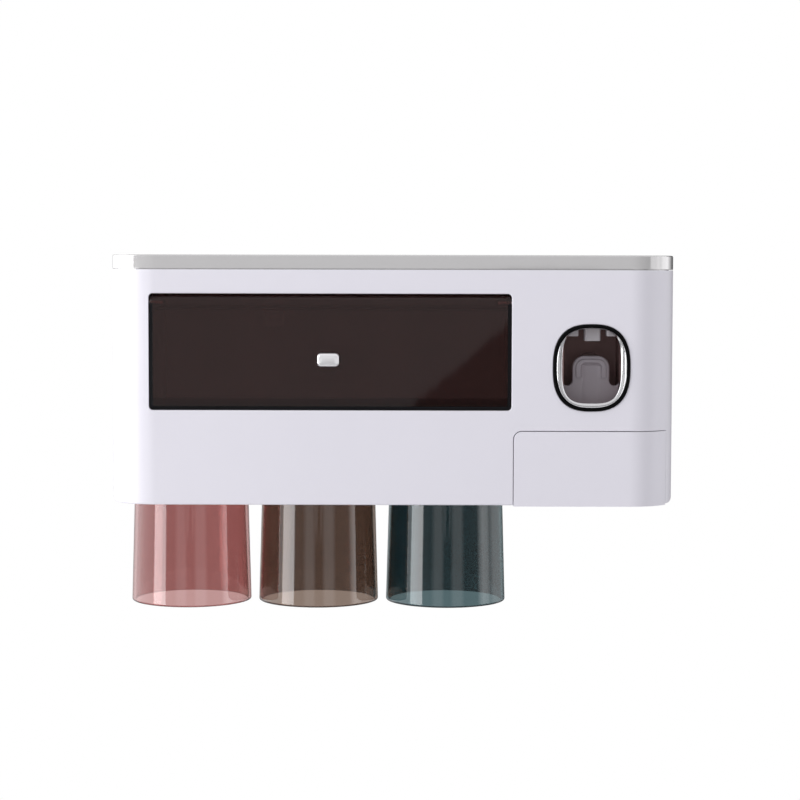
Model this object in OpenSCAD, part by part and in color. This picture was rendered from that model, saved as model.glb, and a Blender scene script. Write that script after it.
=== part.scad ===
// Wall-hung bathroom organiser with a push-lever toothpaste dispenser:
// a white shell with a tray on top, a smoked flip-up door over a brush
// compartment, three inverted rinsing cups, a dispenser window and a corner
// drawer. X runs to the right, -Y towards the user, +Z up. The wall is the
// plane y = 0 and the origin is the centre of the wall plate's four holes.

/* [Housing] */
// Width of the housing across the front
body_w = 357.6; // [357:0.2:358.2]
// Height of the white shell, without the tray lip
body_h = 148; // [147.5:0.5:149]
// Depth from the wall to the front face
body_d = 108; // [107.5:0.5:109]
// Thickness of the moulded shell walls
wall = 2.5; // [2.4:0.05:2.6]
// Plan radius of the two front corners
corner_r = 30; // [29.5:0.25:30.5]
// Radius of the lower corners seen from the front
low_r = 3.2; // [2.6:0.2:3.8]
// Height of the tray lip above the shell
tray_h = 9; // [8:0.5:11]

/* [Door] */
// Left edge of the smoked door
door_x0 = -152.2; // [-152.6:0.1:-151]
// Right edge of the smoked door
door_x1 = 74.2; // [73.5:0.1:74.4]
// Lower edge of the door above the underside
door_z0 = 60.1; // [59.8:0.1:61]
// Upper edge of the door above the underside
door_z1 = 132.2; // [131.8:0.1:132.6]
// Thickness of the door panel
door_t = 3; // [2.6:0.1:3.1]
// Radius of the rolled hinge edge
bead_r = 5.2; // [5:0.1:5.3]

/* [Cups] */
// Centre of the middle cup
cup_x = -48; // [-48.4:0.1:-47.6]
// Distance from cup to cup
cup_pitch = 82.6; // [82.2:0.1:83]
// Distance of the cup axes from the wall
cup_y = 62; // [61.6:0.1:62.4]
// Outer radius of a cup at its rim
cup_rim_r = 38.65; // [38.3:0.05:39]
// Outer radius of a cup at its closed end
cup_end_r = 36; // [35.7:0.05:36.3]
// Height of a cup
cup_h = 97; // [94:1:100]

/* [Dispenser] */
// Centre of the dispenser window across the front
win_x = 124.8; // [124.4:0.1:125]
// Centre of the dispenser window above the underside
win_z = 86.6; // [86.2:0.1:87]
// Half width of the window surround
win_a = 24.2; // [23.8:0.1:24.4]
// Distance of the lever, nozzle and pump to the right of the window centre
mod_off = 1; // [0:0.1:2]
// Half height of the window surround
win_b = 27.25; // [26.8:0.05:27.4]
// Radius of the socket that takes the neck of the tube
neck_r = 7; // [6:0.25:8]

/* [Drawer] */
// Left edge of the drawer front
drawer_x0 = 76.3; // [76.2:0.1:76.6]
// Height of the drawer front
drawer_h = 46.45; // [46:0.05:46.6]
// Depth of the wrapped drawer front, front face to side seam
drawer_wrap = 12.6; // [12.2:0.2:13]

/* [Wall plate] */
// Hole spacing across the plate
hole_dx = 200; // [196:1:206]
// Hole spacing up the plate
hole_dz = 34; // [30:1:36]
// Diameter of a wall hole
hole_d = 4.5; // [4:0.1:5.5]

/* [Hidden] */
$fn = 64;

// height of the bolt pattern above the underside of the shell
mount_z = 109;
yf = -body_d;               // front face
yi = yf + wall;             // inner face of the front wall
shell_back = -1;
cover_y0 = -8.5;            // back cover, inner face
cover_y1 = -6;              // back cover, outer face
gap = 0.5;                  // round the door
// door pivot
piv_y = yf + bead_r;
piv_z = door_z1 - bead_r;
knob_x = -40.1;
knob_z = 91.5;
// cups
cups = [cup_x - cup_pitch, cup_x, cup_x + cup_pitch];
cup_r0 = 38;                // pocket radius
pocket_top = 31;
cup_top = 30.6;
// compartment
lin_x0 = -154.8;
lin_x1 = 76.6;
lin_z0 = 57;
lin_z1 = 135.8;
rack_x = [-120, -66, -12, 42];
// dispenser
mod_x = win_x + mod_off;    // lever, nozzle, pump and tube socket
lev_y = -86;                // lever pivot
lev_z = 67;
plg_z = 88;                 // plunger axis
post_x = 25.2;
post_z = 24;
sock_y = -55;               // tube socket axis
noz_y = -97;
sh_back = -68;              // rear wall of the cavity, inner face
pb_y0 = -66;
pb_y1 = -44;
pb_top = 121;
noz_top = 114.3;            // plate of the nozzle on the cavity's ceiling
duct_z = 117.2;
// drawer
cut_x = drawer_x0 - 0.4;
cut_z = drawer_h + 0.45;
dr_back = yf + drawer_wrap; // side seam
bx0 = 80.9;
bx1 = 168.6;
bz0 = 3.1;
bz1 = 42;
by1 = -18;
// wall plate
hook_x = 80;

module place() translate([0, 0, -mount_z]) children();

// a box from corner to corner
module bx(x0, y0, z0, x1, y1, z1) translate([x0, y0, z0]) cube([x1 - x0, y1 - y0, z1 - z0]);
// a front-view outline (x, z) carried from y0 to y1
module xz(y0, y1) translate([0, y1, 0]) rotate([90, 0, 0]) linear_extrude(height = y1 - y0) children();
module ycyl(r, y0, y1, x, z) translate([x, y1, z]) rotate([90, 0, 0]) cylinder(r = r, h = y1 - y0);
module xcyl(r, x0, x1, y, z) translate([x0, y, z]) rotate([0, 90, 0]) cylinder(r = r, h = x1 - x0);
module zcyl(r, z0, z1, x, y) translate([x, y, z0]) cylinder(r = r, h = z1 - z0);

// rounded rectangle from corner to corner
module rr(x0, z0, x1, z1, r) {
    translate([x0 + r, z0]) square([x1 - x0 - 2 * r, z1 - z0]);
    translate([x0, z0 + r]) square([x1 - x0, z1 - z0 - 2 * r]);
    for (x = [x0 + r, x1 - r], z = [z0 + r, z1 - r]) translate([x, z]) circle(r);
}

// plan of the housing, moved in by d, from the front wall back to yb
module plan(d, yb) {
    w = body_w / 2 - d;
    r = corner_r - d;
    y = yf + d;
    translate([-w + r, y]) square([2 * (w - r), yb - y]);
    translate([-w, y + r]) square([2 * w, yb - y - r]);
    for (s = [-1, 1]) translate([s * (w - r), y + r]) circle(r, $fn = 96);
}

// superellipse outline, as the window surround has
function se(a, b, n, cx, cz, k = 72) = [for (i = [0:k - 1])
    let (t = 360 * i / k, c = cos(t), s = sin(t))
    [cx + a * sign(c) * pow(abs(c), 2 / n), cz + b * sign(s) * pow(abs(s), 2 / n)]];

// front view of the shell: rounded at the two lower corners only
module front_view(z0, z1) intersection() {
    rr(-body_w / 2, z0, body_w / 2, z1 + 40, low_r);
    translate([-body_w, z0]) square([2 * body_w, z1 - z0]);
}

// four case screws: [x, z]
case_x = body_w / 2 - wall - 5.2;
case_pts = [[-case_x, 14], [-case_x, 138], [case_x, 53], [case_x, 138]];
deck_pts = [for (i = [0, 1], y = [-98, -27]) [(cups[i] + cups[i + 1]) / 2, y]];
sq_pts = [for (sx = [-1, 1], sz = [-1, 1]) [mod_x + sx * post_x, win_z + sz * post_z]];
pump_pts = [for (sx = [-1, 1], sz = [-1, 1]) [mod_x + sx * 12.2, plg_z + sz * 14.5]];
drawer_pts = [[98, 27], [146, 27]];

// ---------- what stays on the wall ----------
module wall_plate() color([0.86, 0.86, 0.88]) place() {
    difference() {
        xz(-3, 0) rr(-112, mount_z - 25, 112, mount_z + 25, 8);
        for (sx = [-1, 1], sz = [-1, 1]) ycyl(hole_d / 2, -4, 1, sx * hole_dx / 2, mount_z + sz * hole_dz / 2);
        for (sx = [-1, 1]) xz(-0.8, 1) rr(sx * 40 - 28, mount_z - 19, sx * 40 + 28, mount_z + 19, 4);
    }
    for (sx = [-1, 1]) {
        bx(sx * hook_x - 6, -12, 118, sx * hook_x + 6, -2.9, 121);
        bx(sx * hook_x - 6, -12, 118, sx * hook_x + 6, -9.5, 127);
        // gusset under the shank
        for (g = [-4.5, 3]) bx(sx * hook_x + g, -5.5, 114, sx * hook_x + g + 1.5, -2.9, 118.1);
    }
}

module adhesive_pads() color([0.25, 0.25, 0.27]) place()
    for (sx = [-1, 1]) xz(-0.8, 0) rr(sx * 40 - 28, mount_z - 19, sx * 40 + 28, mount_z + 19, 4);

// ---------- housing ----------
module front_shell() color([0.88, 0.87, 0.91]) place() difference() {
    union() {
        difference() {
            intersection() {
                linear_extrude(height = body_h) plan(0, shell_back);
                xz(yf - 1, 1) front_view(0, body_h);
            }
            translate([0, 0, wall]) linear_extrude(height = body_h) plan(wall, 2);
        }
        // posts for the dispenser, and bosses for the back cover
        for (p = sq_pts) ycyl(3.4, yi - 0.2, -99.5, p[0], p[1]);
        for (p = case_pts) ycyl(5.4, -34, cover_y0, p[0], p[1]);
    }
    // door and window openings
    xz(yf - 2, yi + 0.7) rr(door_x0 - gap, door_z0 - gap, door_x1 + gap, door_z1 + gap, 1.2);
    xz(yf - 2, yi + 0.1) polygon(se(win_a + 0.05, win_b + 0.05, 2.6, win_x, win_z));
    // the corner that the drawer front fills, and relief for its ribs
    xz(yf - 2, dr_back + 0.3) rr(cut_x, -20, 230, cut_z, 5.4);
    bx(150, -96, wall, 171, -80, 44);
    // round holes that the cups go up through, and the slot the brush handles hang through
    for (x = cups) zcyl(cup_r0, -1, wall + 1, x, -cup_y);
    translate([0, 0, -1]) linear_extrude(height = wall + 2) rr(-150, -20.5, 72, -10, 3);
    // screw holes
    for (p = sq_pts) ycyl(1.3, -104, -99, p[0], p[1]);
    for (p = case_pts) ycyl(1.4, -24, 0, p[0], p[1]);
    for (p = deck_pts) {
        zcyl(1.7, -1, wall + 1, p[0], p[1]);
        zcyl(3.4, -1, 1.6, p[0], p[1]);
    }
}

module back_cover() color([0.82, 0.82, 0.84]) place() difference() {
    union() {
        xz(cover_y0, cover_y1) rr(0.3 + wall - body_w / 2, 2.8, body_w / 2 - wall - 0.3, 147.7, 3);
        // ribs that stiffen the panel
        for (z = [40, 74]) bx(-148, cover_y1 - 0.1, z, 148, cover_y1 + 1.2, z + 1.6);
    }
    for (sx = [-1, 1]) xz(-10, 0) rr(sx * hook_x - 6.6, 110, sx * hook_x + 6.6, 121.3, 0.8);
    for (p = case_pts) ycyl(1.7, -10, 0, p[0], p[1]);
}

module tray() color([0.74, 0.74, 0.75]) place() difference() {
    union() {
        difference() {
            translate([0, 0, body_h]) linear_extrude(height = tray_h) plan(0, shell_back);
            translate([0, 0, body_h + 2]) linear_extrude(height = tray_h) plan(2, shell_back - 2);
        }
        // skirt inside the shell
        difference() {
            translate([0, 0, body_h - 3.5]) linear_extrude(height = 3.6) plan(wall + 0.2, -9);
            translate([0, 0, body_h - 5]) linear_extrude(height = 5) plan(wall + 2, -10.8);
        }
        zcyl(22, body_h + 1, body_h + 6, mod_x, sock_y);
    }
    zcyl(20, body_h - 2, body_h + 8, mod_x, sock_y);
}

module cup_deck() color([0.84, 0.84, 0.86]) place() difference() {
    union() {
        intersection() {
            translate([0, 0, wall]) linear_extrude(height = 2) plan(wall + 0.2, -10);
            bx(-200, -120, 0, 74.4, -21.5, 10);
        }
        for (x = cups) {
            zcyl(cup_r0 + 1.2, wall, pocket_top + 1.8, x, -cup_y);
            zcyl(11, pocket_top, pocket_top + 6.5, x, -cup_y);
        }
        for (p = deck_pts) zcyl(4, wall, 14, p[0], p[1]);
    }
    for (x = cups) {
        zcyl(cup_r0, 0, pocket_top, x, -cup_y);
        zcyl(9.1, pocket_top + 1.8, pocket_top + 8, x, -cup_y);
    }
    for (p = deck_pts) zcyl(1.3, 0, 12, p[0], p[1]);
}

module deck_magnets() color([0.6, 0.6, 0.62]) place()
    for (x = cups) zcyl(9, pocket_top + 1.8, pocket_top + 4.8, x, -cup_y);

module magnet_caps() color([0.84, 0.84, 0.86]) place()
    for (x = cups) zcyl(9.1, pocket_top + 4.8, pocket_top + 6.3, x, -cup_y);

module compartment_liner() color([0.2, 0.18, 0.18]) place() difference() {
    union() {
        difference() {
            bx(lin_x0, -104.7, lin_z0, lin_x1, -13, lin_z1);
            bx(lin_x0 + 2, -120, lin_z0 + 1.8, lin_x1 - 1.8, 0, lin_z1 - 1.8);
            bx(lin_x0 - 1, -21, lin_z0 - 1, lin_x1 + 1, 0, lin_z0 + 5);
        }
        // front lip that keeps things in
        bx(lin_x0 + 2, -104.7, lin_z0 + 1, lin_x1 - 1.8, -102.2, 67.3);
    }
    xcyl(1.25, lin_x0 - 1, lin_x1 + 1, piv_y, piv_z);
    bx(knob_x - 6, -106, 61.5, knob_x + 6, -103.2, 66.5);
}

module brush_rack() color([0.84, 0.84, 0.86]) place() difference() {
    union() {
        bx(lin_x0 + 2.3, -20.9, lin_z0, lin_x1 - 2.1, -9, lin_z0 + 3.8);
        bx(lin_x0 + 2.3, -30, lin_z0 + 1.8, lin_x1 - 2.1, -20.8, lin_z0 + 3.8);
    }
    // keyholes: the handle goes down the wide part, the neck hangs in the narrow one
    for (x = rack_x) {
        bx(x - 8.5, -20, 50, x + 8.5, -10.2, 70);
        bx(x + 8, -19, 50, x + 20, -11, 70);
    }
}

module case_screws() color([0.7, 0.7, 0.72]) place() for (p = case_pts) difference() {
    union() {
        ycyl(1.4, -22, cover_y1 + 0.1, p[0], p[1]);
        ycyl(3.4, cover_y1, cover_y1 + 1.8, p[0], p[1]);
    }
    for (a = [0, 90]) translate([p[0], cover_y1 + 1.8, p[1]]) rotate([0, a, 0]) cube([4, 1.6, 0.8], center = true);
}

module deck_screws() color([0.7, 0.7, 0.72]) place() for (p = deck_pts) difference() {
    union() {
        zcyl(1.3, 1.5, 11, p[0], p[1]);
        zcyl(3.2, 0.1, 1.6, p[0], p[1]);
    }
    for (a = [0, 90]) translate([p[0], p[1], 0.1]) rotate([0, 0, a]) cube([4, 0.8, 1.4], center = true);
}

// ---------- smoked door ----------
module door_panel() color([0.2, 0.16, 0.16, 0.7]) place() difference() {
    union() {
        xz(yf, yf + door_t) intersection() {
            rr(door_x0, door_z0, door_x1, door_z1 + 20, 2);
            translate([-200, 0]) square([400, piv_z]);
        }
        xcyl(bead_r, door_x0, door_x1, piv_y, piv_z);
    }
    xcyl(1.3, door_x0 - 1, door_x0 + 9, piv_y, piv_z);
    xcyl(1.3, door_x1 - 9, door_x1 + 1, piv_y, piv_z);
    ycyl(2, yf - 1, yf + door_t + 1, knob_x, knob_z);
    bx(knob_x - 6, yf + door_t - 0.5, 61.5, knob_x + 6, yf + door_t + 1, 66.5);
}

module door_knob() color([0.85, 0.85, 0.86]) place() difference() {
    union() {
        xz(yf - 8, yf - 2.5) rr(knob_x - 6.9, knob_z - 4.25, knob_x + 6.9, knob_z + 4.25, 1.6);
        xz(yf - 2.6, yf) rr(knob_x - 4, knob_z - 2.6, knob_x + 4, knob_z + 2.6, 1.2);
        ycyl(2, yf - 0.1, yf + door_t, knob_x, knob_z);
    }
    ycyl(1, yf - 4, yf + door_t + 1, knob_x, knob_z);
}

module knob_screw() color([0.7, 0.7, 0.72]) place() difference() {
    union() {
        ycyl(1, yf - 3.8, yf + door_t + 0.1, knob_x, knob_z);
        ycyl(3.2, yf + door_t, yf + door_t + 1.4, knob_x, knob_z);
    }
    for (a = [0, 90]) translate([knob_x, yf + door_t + 1.4, knob_z]) rotate([0, a, 0]) cube([3.6, 1.2, 0.7], center = true);
}

module catch_plate() color([0.65, 0.65, 0.67]) place()
    bx(knob_x - 6, yf + door_t - 0.5, 61.5, knob_x + 6, yf + door_t, 66.5);

module catch_magnet() color([0.35, 0.35, 0.37]) place()
    bx(knob_x - 6, -104.7, 61.5, knob_x + 6, -103.2, 66.5);

module door_pins() color([0.72, 0.72, 0.74]) place() {
    xcyl(1.25, lin_x0, door_x0 + 8, piv_y, piv_z);
    xcyl(1.25, door_x1 - 8, lin_x1, piv_y, piv_z);
}

// ---------- cups, hung with the rim down ----------
module cup(x) place() translate([x, -cup_y, 0]) {
    r0 = cup_end_r;
    r1 = cup_rim_r;
    zt = cup_top;
    zb = cup_top - cup_h;
    rotate_extrude($fn = 96) polygon([[0, zt - 0.7], [14, zt - 0.7], [14, zt], [r0 - 2.2, zt], [r0 - 1.1, zt - 0.35],
        [r0 - 0.35, zt - 1.1], [r0, zt - 2.4], [r1, zb + 0.5], [r1 - 0.5, zb], [r1 - 1.6, zb], [r1 - 2.1, zb + 0.5],
        [r0 - 2.2, zt - 6], [r0 - 3, zt - 4], [r0 - 5, zt - 3], [0, zt - 3]]);
}
module disc(x) place() zcyl(14, cup_top - 0.7, cup_top, x, -cup_y);
module cup_left() color([0.75, 0.5, 0.5, 0.6]) cup(cups[0]);
module cup_middle() color([0.55, 0.48, 0.45, 0.6]) cup(cups[1]);
module cup_right() color([0.35, 0.45, 0.5, 0.6]) cup(cups[2]);
module cup_disc_left() color([0.65, 0.65, 0.67]) disc(cups[0]);
module cup_disc_middle() color([0.65, 0.65, 0.67]) disc(cups[1]);
module cup_disc_right() color([0.65, 0.65, 0.67]) disc(cups[2]);

// ---------- dispenser ----------
module window_gasket() color([0.05, 0.05, 0.06]) place() xz(yf - 0.8, yi) difference() {
    polygon(se(win_a, win_b, 2.6, win_x, win_z));
    polygon(se(win_a - 2.15, win_b - 2.15, 2.6, win_x, win_z));
}

module bezel_ring() color([0.8, 0.8, 0.82]) place() difference() {
    xz(yf - 1.4, yi) polygon(se(win_a - 2.15, win_b - 2.15, 2.6, win_x, win_z));
    xz(yf - 3, yi + 1) rr(win_x - 18.4, win_z - 22.2, win_x + 18.4, win_z + 24.3, 13);
    // stepped bevel of the inner edge
    xz(yf - 3, yf) polygon(se(19.9, 24, 2.9, win_x, win_z + 0.4));
}

module squeezer_housing() color([0.22, 0.18, 0.18]) place() {
    cz0 = win_z - 25;
    cz1 = win_z + 24.3;
    difference() {
        union() {
            xz(yi, yi + 2) rr(mod_x - 26, win_z - 29.6, mod_x + 22.9, win_z + 29.6, 4);
            bx(mod_x - 20.4, yi + 1, cz0 - 2, mod_x + 20.4, sh_back + 2, cz1 + 2);
            for (p = sq_pts) ycyl(5.6, yi + 1.4, -99.5, p[0], p[1]);
        }
        xz(yi - 1, sh_back) rr(mod_x - 18.4, cz0, mod_x + 18.4, cz1, 1);
        for (p = sq_pts) ycyl(3.6, -120, -90, p[0], p[1]);
        xcyl(1.5, mod_x - 22, mod_x + 22, lev_y, lev_z);
        ycyl(4.06, sh_back - 1, 0, mod_x, plg_z);
        // window in the ceiling for the nozzle block
        bx(mod_x - 17.1, noz_y - 5, cz1 - 1, mod_x + 17.1, noz_y + 5, cz1 + 5);
    }
}

module push_lever() color([0.5, 0.48, 0.5]) place() difference() {
    union() {
        // full-width foot, with the pin bore
        bx(mod_x - 18, lev_y - 6, 62.7, mod_x + 18, lev_y + 2, 72);
        xz(lev_y - 6, lev_y - 2) difference() {
            translate([mod_x - 18, 70]) square([36, 7.9]);
            for (s = [-1, 1]) translate([mod_x + s * 15, 77.9]) circle(3.2);
        }
        // tongue that the brush is pressed against
        xz(lev_y - 6, lev_y - 2) rr(mod_x - 11.8, 68, mod_x + 11.8, 93.6, 7.6);
        xz(lev_y - 7.2, lev_y - 5.9) rr(mod_x - 9.6, 80, mod_x + 9.6, 91.4, 4.6);
    }
    xcyl(1.56, mod_x - 20, mod_x + 20, lev_y, lev_z);
    // shallow channel down the tongue
    translate([mod_x, lev_y - 13.6, 60]) cylinder(r = 9, h = 29);
}

module lever_pin() color([0.72, 0.72, 0.74]) place() xcyl(1.5, mod_x - 20.4, mod_x + 20.4, lev_y, lev_z);

module plunger() color([0.22, 0.18, 0.18]) place()
    // round nose behind the tongue, shank and spring collar, turned about the axis
    translate([mod_x, -66.3, plg_z]) rotate([90, 0, 0]) rotate_extrude() polygon(concat(
        [[0, 0], [3.6, 0], [4, 0.4], [4, 13.7], [7.2, 13.7], [7.6, 14.1], [7.6, 15.3], [7.2, 15.7], [4, 15.7]],
        [for (a = [0:15:75]) [4 * cos(a), 17.4 + 4 * sin(a)]],
        [[0, 17.4 + 4 * sin(75)]]));

// coil spring round the shank, as one swept tube
sp_n = 80;
sp_k = 8;
sp_pts = [for (i = [0:sp_n], j = [0:sp_k - 1])
    let (u = i / sp_n, f = 360 * 5 * u, a = 360 * j / sp_k, r = 5.6 + 0.45 * cos(a),
        y = -79.5 + 11 * (0.04 + 0.92 * u) + 0.45 * sin(a))
    [mod_x + r * cos(f), y, plg_z + r * sin(f)]];
sp_faces = concat(
    [for (i = [0:sp_n - 1], j = [0:sp_k - 1]) [i * sp_k + j, i * sp_k + (j + 1) % sp_k, (i + 1) * sp_k + (j + 1) % sp_k, (i + 1) * sp_k + j]],
    [[for (j = [sp_k - 1:-1:0]) j], [for (j = [0:sp_k - 1]) sp_n * sp_k + j]]);
module plunger_spring() color([0.75, 0.75, 0.77]) place() polyhedron(points = sp_pts, faces = sp_faces, convexity = 8);

module pump_body() color([0.86, 0.86, 0.87]) place() difference() {
    union() {
        xz(pb_y0, pb_y1) rr(mod_x - 16, plg_z - 18, mod_x + 16, plg_z + 18, 3);
        bx(mod_x - 12, pb_y0, 100, mod_x + 12, pb_y1, pb_top);
        zcyl(13, pb_top - 1, 141, mod_x, sock_y);
    }
    // pump chamber, with a step for the diaphragm's rim
    ycyl(12.5, pb_y0 - 1, pb_y1 + 1, mod_x, plg_z);
    ycyl(14.9, pb_y0 - 1, pb_y0 + 1.2, mod_x, plg_z);
    // socket cup, inlet way with its valve seat, outlet way
    zcyl(11, pb_top, 150, mod_x, sock_y);
    zcyl(3.5, 92, 130, mod_x, sock_y);
    zcyl(5.5, pb_top - 3, 130, mod_x, sock_y);
    zcyl(1.7, 96, duct_z + 0.3, mod_x, -62);
    ycyl(2, pb_y0 - 1, -62, mod_x, duct_z);
    for (p = pump_pts) ycyl(1.2, -56, 0, p[0], p[1]);
}

module pump_diaphragm() color([0.9, 0.9, 0.88]) place() {
    ycyl(14.9, pb_y0, pb_y0 + 1.2, mod_x, plg_z);
    ycyl(5, pb_y0 + 1.1, pb_y0 + 3.5, mod_x, plg_z);
}

module pump_cover() color([0.86, 0.86, 0.87]) place() difference() {
    union() {
        xz(pb_y1, pb_y1 + 2.5) rr(mod_x - 16, plg_z - 18, mod_x + 16, plg_z + 18, 3);
        ycyl(12.4, pb_y1 - 3, pb_y1 + 0.1, mod_x, plg_z);
    }
    for (p = pump_pts) ycyl(1.5, -60, 0, p[0], p[1]);
    ycyl(10.4, pb_y1 - 4, pb_y1, mod_x, plg_z);
}

module inlet_valve() color([0.9, 0.9, 0.88]) place() difference() {
    union() {
        zcyl(5.5, pb_top - 3, pb_top - 1.5, mod_x, sock_y);
        zcyl(3.4, pb_top - 9, pb_top - 2.9, mod_x, sock_y);
    }
    zcyl(2, pb_top - 8, pb_top, mod_x, sock_y);
    bx(mod_x - 0.3, sock_y - 2.4, pb_top - 10, mod_x + 0.3, sock_y + 2.4, pb_top - 7);
}

module tube_socket() color([0.55, 0.55, 0.57]) place() difference() {
    union() {
        zcyl(11, pb_top, 141, mod_x, sock_y);
        zcyl(13, 141, 143.5, mod_x, sock_y);
    }
    zcyl(neck_r, 129, 150, mod_x, sock_y);
    zcyl(4, pb_top - 1, 130, mod_x, sock_y);
}

module nozzle() color([0.53, 0.52, 0.54]) place() difference() {
    union() {
        bx(mod_x - 18.4, noz_y - 6, 112.9, mod_x + 18.4, noz_y + 6, noz_top);
        bx(mod_x - 5.05, noz_y - 4.8, 103.2, mod_x + 5.05, noz_y + 4.8, 113);
        for (s = [-1, 1]) bx(mod_x + s * 12.8 - 4, noz_y - 4.8, 106.2, mod_x + s * 12.8 + 4, noz_y + 4.8, 113);
    }
    zcyl(2, 100, 120, mod_x, noz_y);
    zcyl(3.6, 100, 108, mod_x, noz_y);
}

module outlet_valve() color([0.9, 0.9, 0.88]) place() difference() {
    zcyl(3.6, 103.6, 108, mod_x, noz_y);
    zcyl(2, 105, 109, mod_x, noz_y);
    bx(mod_x - 2.4, noz_y - 0.25, 100, mod_x + 2.4, noz_y + 0.25, 106);
}

module paste_duct() color([0.8, 0.8, 0.78]) place() difference() {
    union() {
        ycyl(2.6, noz_y, pb_y0, mod_x, duct_z);
        zcyl(3.8, noz_top, duct_z + 3, mod_x, noz_y);
    }
    ycyl(1.6, noz_y, pb_y0 + 1, mod_x, duct_z);
    zcyl(1.8, 110, duct_z, mod_x, noz_y);
}

module squeezer_screws() color([0.7, 0.7, 0.72]) place() for (p = sq_pts) difference() {
    union() {
        ycyl(1.3, -103.5, -99.4, p[0], p[1]);
        ycyl(4.6, -99.5, -97.7, p[0], p[1]);
    }
    for (a = [0, 90]) translate([p[0], -97.7, p[1]]) rotate([0, a, 0]) cube([4.4, 1.6, 0.8], center = true);
}

module pump_screws() color([0.7, 0.7, 0.72]) place() for (p = pump_pts) difference() {
    union() {
        ycyl(1.2, -54, pb_y1 + 2.6, p[0], p[1]);
        ycyl(2.6, pb_y1 + 2.5, pb_y1 + 4, p[0], p[1]);
    }
    for (a = [0, 90]) translate([p[0], pb_y1 + 4, p[1]]) rotate([0, a, 0]) cube([3, 1.2, 0.7], center = true);
}

// ---------- corner drawer ----------
module drawer_front() color([0.86, 0.85, 0.9]) place() difference() {
    intersection() {
        translate([0, 0, -0.7]) linear_extrude(height = drawer_h + 0.7) plan(0, dr_back);
        xz(yf - 1, dr_back) intersection() {
            rr(drawer_x0, -20, 400, drawer_h, 5);
            rr(-400, -0.7, body_w / 2, 200, low_r);
        }
    }
    // hollow behind the face, closed by the box
    difference() {
        intersection() {
            translate([0, 0, 10]) linear_extrude(height = drawer_h - 12.4) plan(wall, dr_back + 1);
            bx(drawer_x0 + wall, -120, 0, 200, 0, 60);
        }
        for (p = drawer_pts) ycyl(3.6, -120, 0, p[0], p[1]);
    }
    for (p = drawer_pts) ycyl(1.3, -103, -90, p[0], p[1]);
    // finger groove underneath
    bx(108, yf + 4, -2, 143, dr_back - 1.6, 6.5);
}

module drawer_box() color([0.86, 0.86, 0.88]) place() difference() {
    union() {
        bx(bx0, dr_back, bz0, bx1, by1, bz1);
        bx(bx0 - 2, dr_back + 8, 9.3, bx0 + 0.1, by1, 12.7);
        bx(bx1 - 0.1, dr_back + 8, 9.3, bx1 + 2, by1, 12.7);
    }
    bx(bx0 + 1.8, dr_back + 1.8, bz0 + 1.8, bx1 - 1.8, by1 - 1.8, bz1 + 5);
    for (p = drawer_pts) ycyl(1.6, dr_back - 1, dr_back + 3, p[0], p[1]);
}

module drawer_screws() color([0.7, 0.7, 0.72]) place() for (p = drawer_pts) difference() {
    union() {
        ycyl(1.3, -102.5, dr_back + 1.9, p[0], p[1]);
        ycyl(3, dr_back + 1.8, dr_back + 3.3, p[0], p[1]);
    }
    for (a = [0, 90]) translate([p[0], dr_back + 3.3, p[1]]) rotate([0, a, 0]) cube([3.4, 1.2, 0.7], center = true);
}

module drawer_rail_left() color([0.8, 0.8, 0.82]) place() difference() {
    bx(77, -92, wall, 80.5, -16, 17);
    bx(78.2, -93, 8.9, 81, -15, 13.1);
}
module drawer_rail_right() color([0.8, 0.8, 0.82]) place() difference() {
    bx(169, -79.5, wall, 172.5, -16, 17);
    bx(168, -80.5, 8.9, 171.3, -15, 13.1);
}

wall_plate();
adhesive_pads();
back_cover();
front_shell();
tray();
cup_deck();
deck_magnets();
magnet_caps();
compartment_liner();
brush_rack();
door_panel();
door_knob();
knob_screw();
catch_plate();
catch_magnet();
door_pins();
cup_left();
cup_middle();
cup_right();
cup_disc_left();
cup_disc_middle();
cup_disc_right();
window_gasket();
bezel_ring();
squeezer_housing();
push_lever();
lever_pin();
plunger();
plunger_spring();
pump_body();
pump_diaphragm();
pump_cover();
inlet_valve();
outlet_valve();
nozzle();
paste_duct();
tube_socket();
drawer_box();
drawer_front();
drawer_rail_left();
drawer_rail_right();
case_screws();
deck_screws();
squeezer_screws();
pump_screws();
drawer_screws();
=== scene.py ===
"""Looks for the wall-hung organiser with its push-lever dispenser. Shapes are built in millimetres, with z above the
underside of the shell, and turned into metres of the shared frame when a piece is finished."""
import math

import bmesh
import bpy
import numpy as np
from mathutils import Matrix, Vector


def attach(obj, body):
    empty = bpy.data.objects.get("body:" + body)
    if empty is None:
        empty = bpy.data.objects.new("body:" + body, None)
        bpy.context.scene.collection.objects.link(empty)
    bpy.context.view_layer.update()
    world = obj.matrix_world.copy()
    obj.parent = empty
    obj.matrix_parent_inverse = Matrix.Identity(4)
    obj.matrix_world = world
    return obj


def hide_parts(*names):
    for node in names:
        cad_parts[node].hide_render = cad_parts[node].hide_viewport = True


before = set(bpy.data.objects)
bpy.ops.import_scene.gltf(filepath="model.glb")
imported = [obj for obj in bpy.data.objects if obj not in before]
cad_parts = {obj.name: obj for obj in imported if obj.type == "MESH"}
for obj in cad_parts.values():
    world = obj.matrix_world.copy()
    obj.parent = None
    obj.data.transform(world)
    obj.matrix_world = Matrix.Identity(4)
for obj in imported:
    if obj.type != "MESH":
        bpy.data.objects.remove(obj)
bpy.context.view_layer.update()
scene = bpy.context.scene
TO_M = Matrix.Translation((0, 0, -0.109)) @ Matrix.Scale(0.001, 4)

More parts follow.
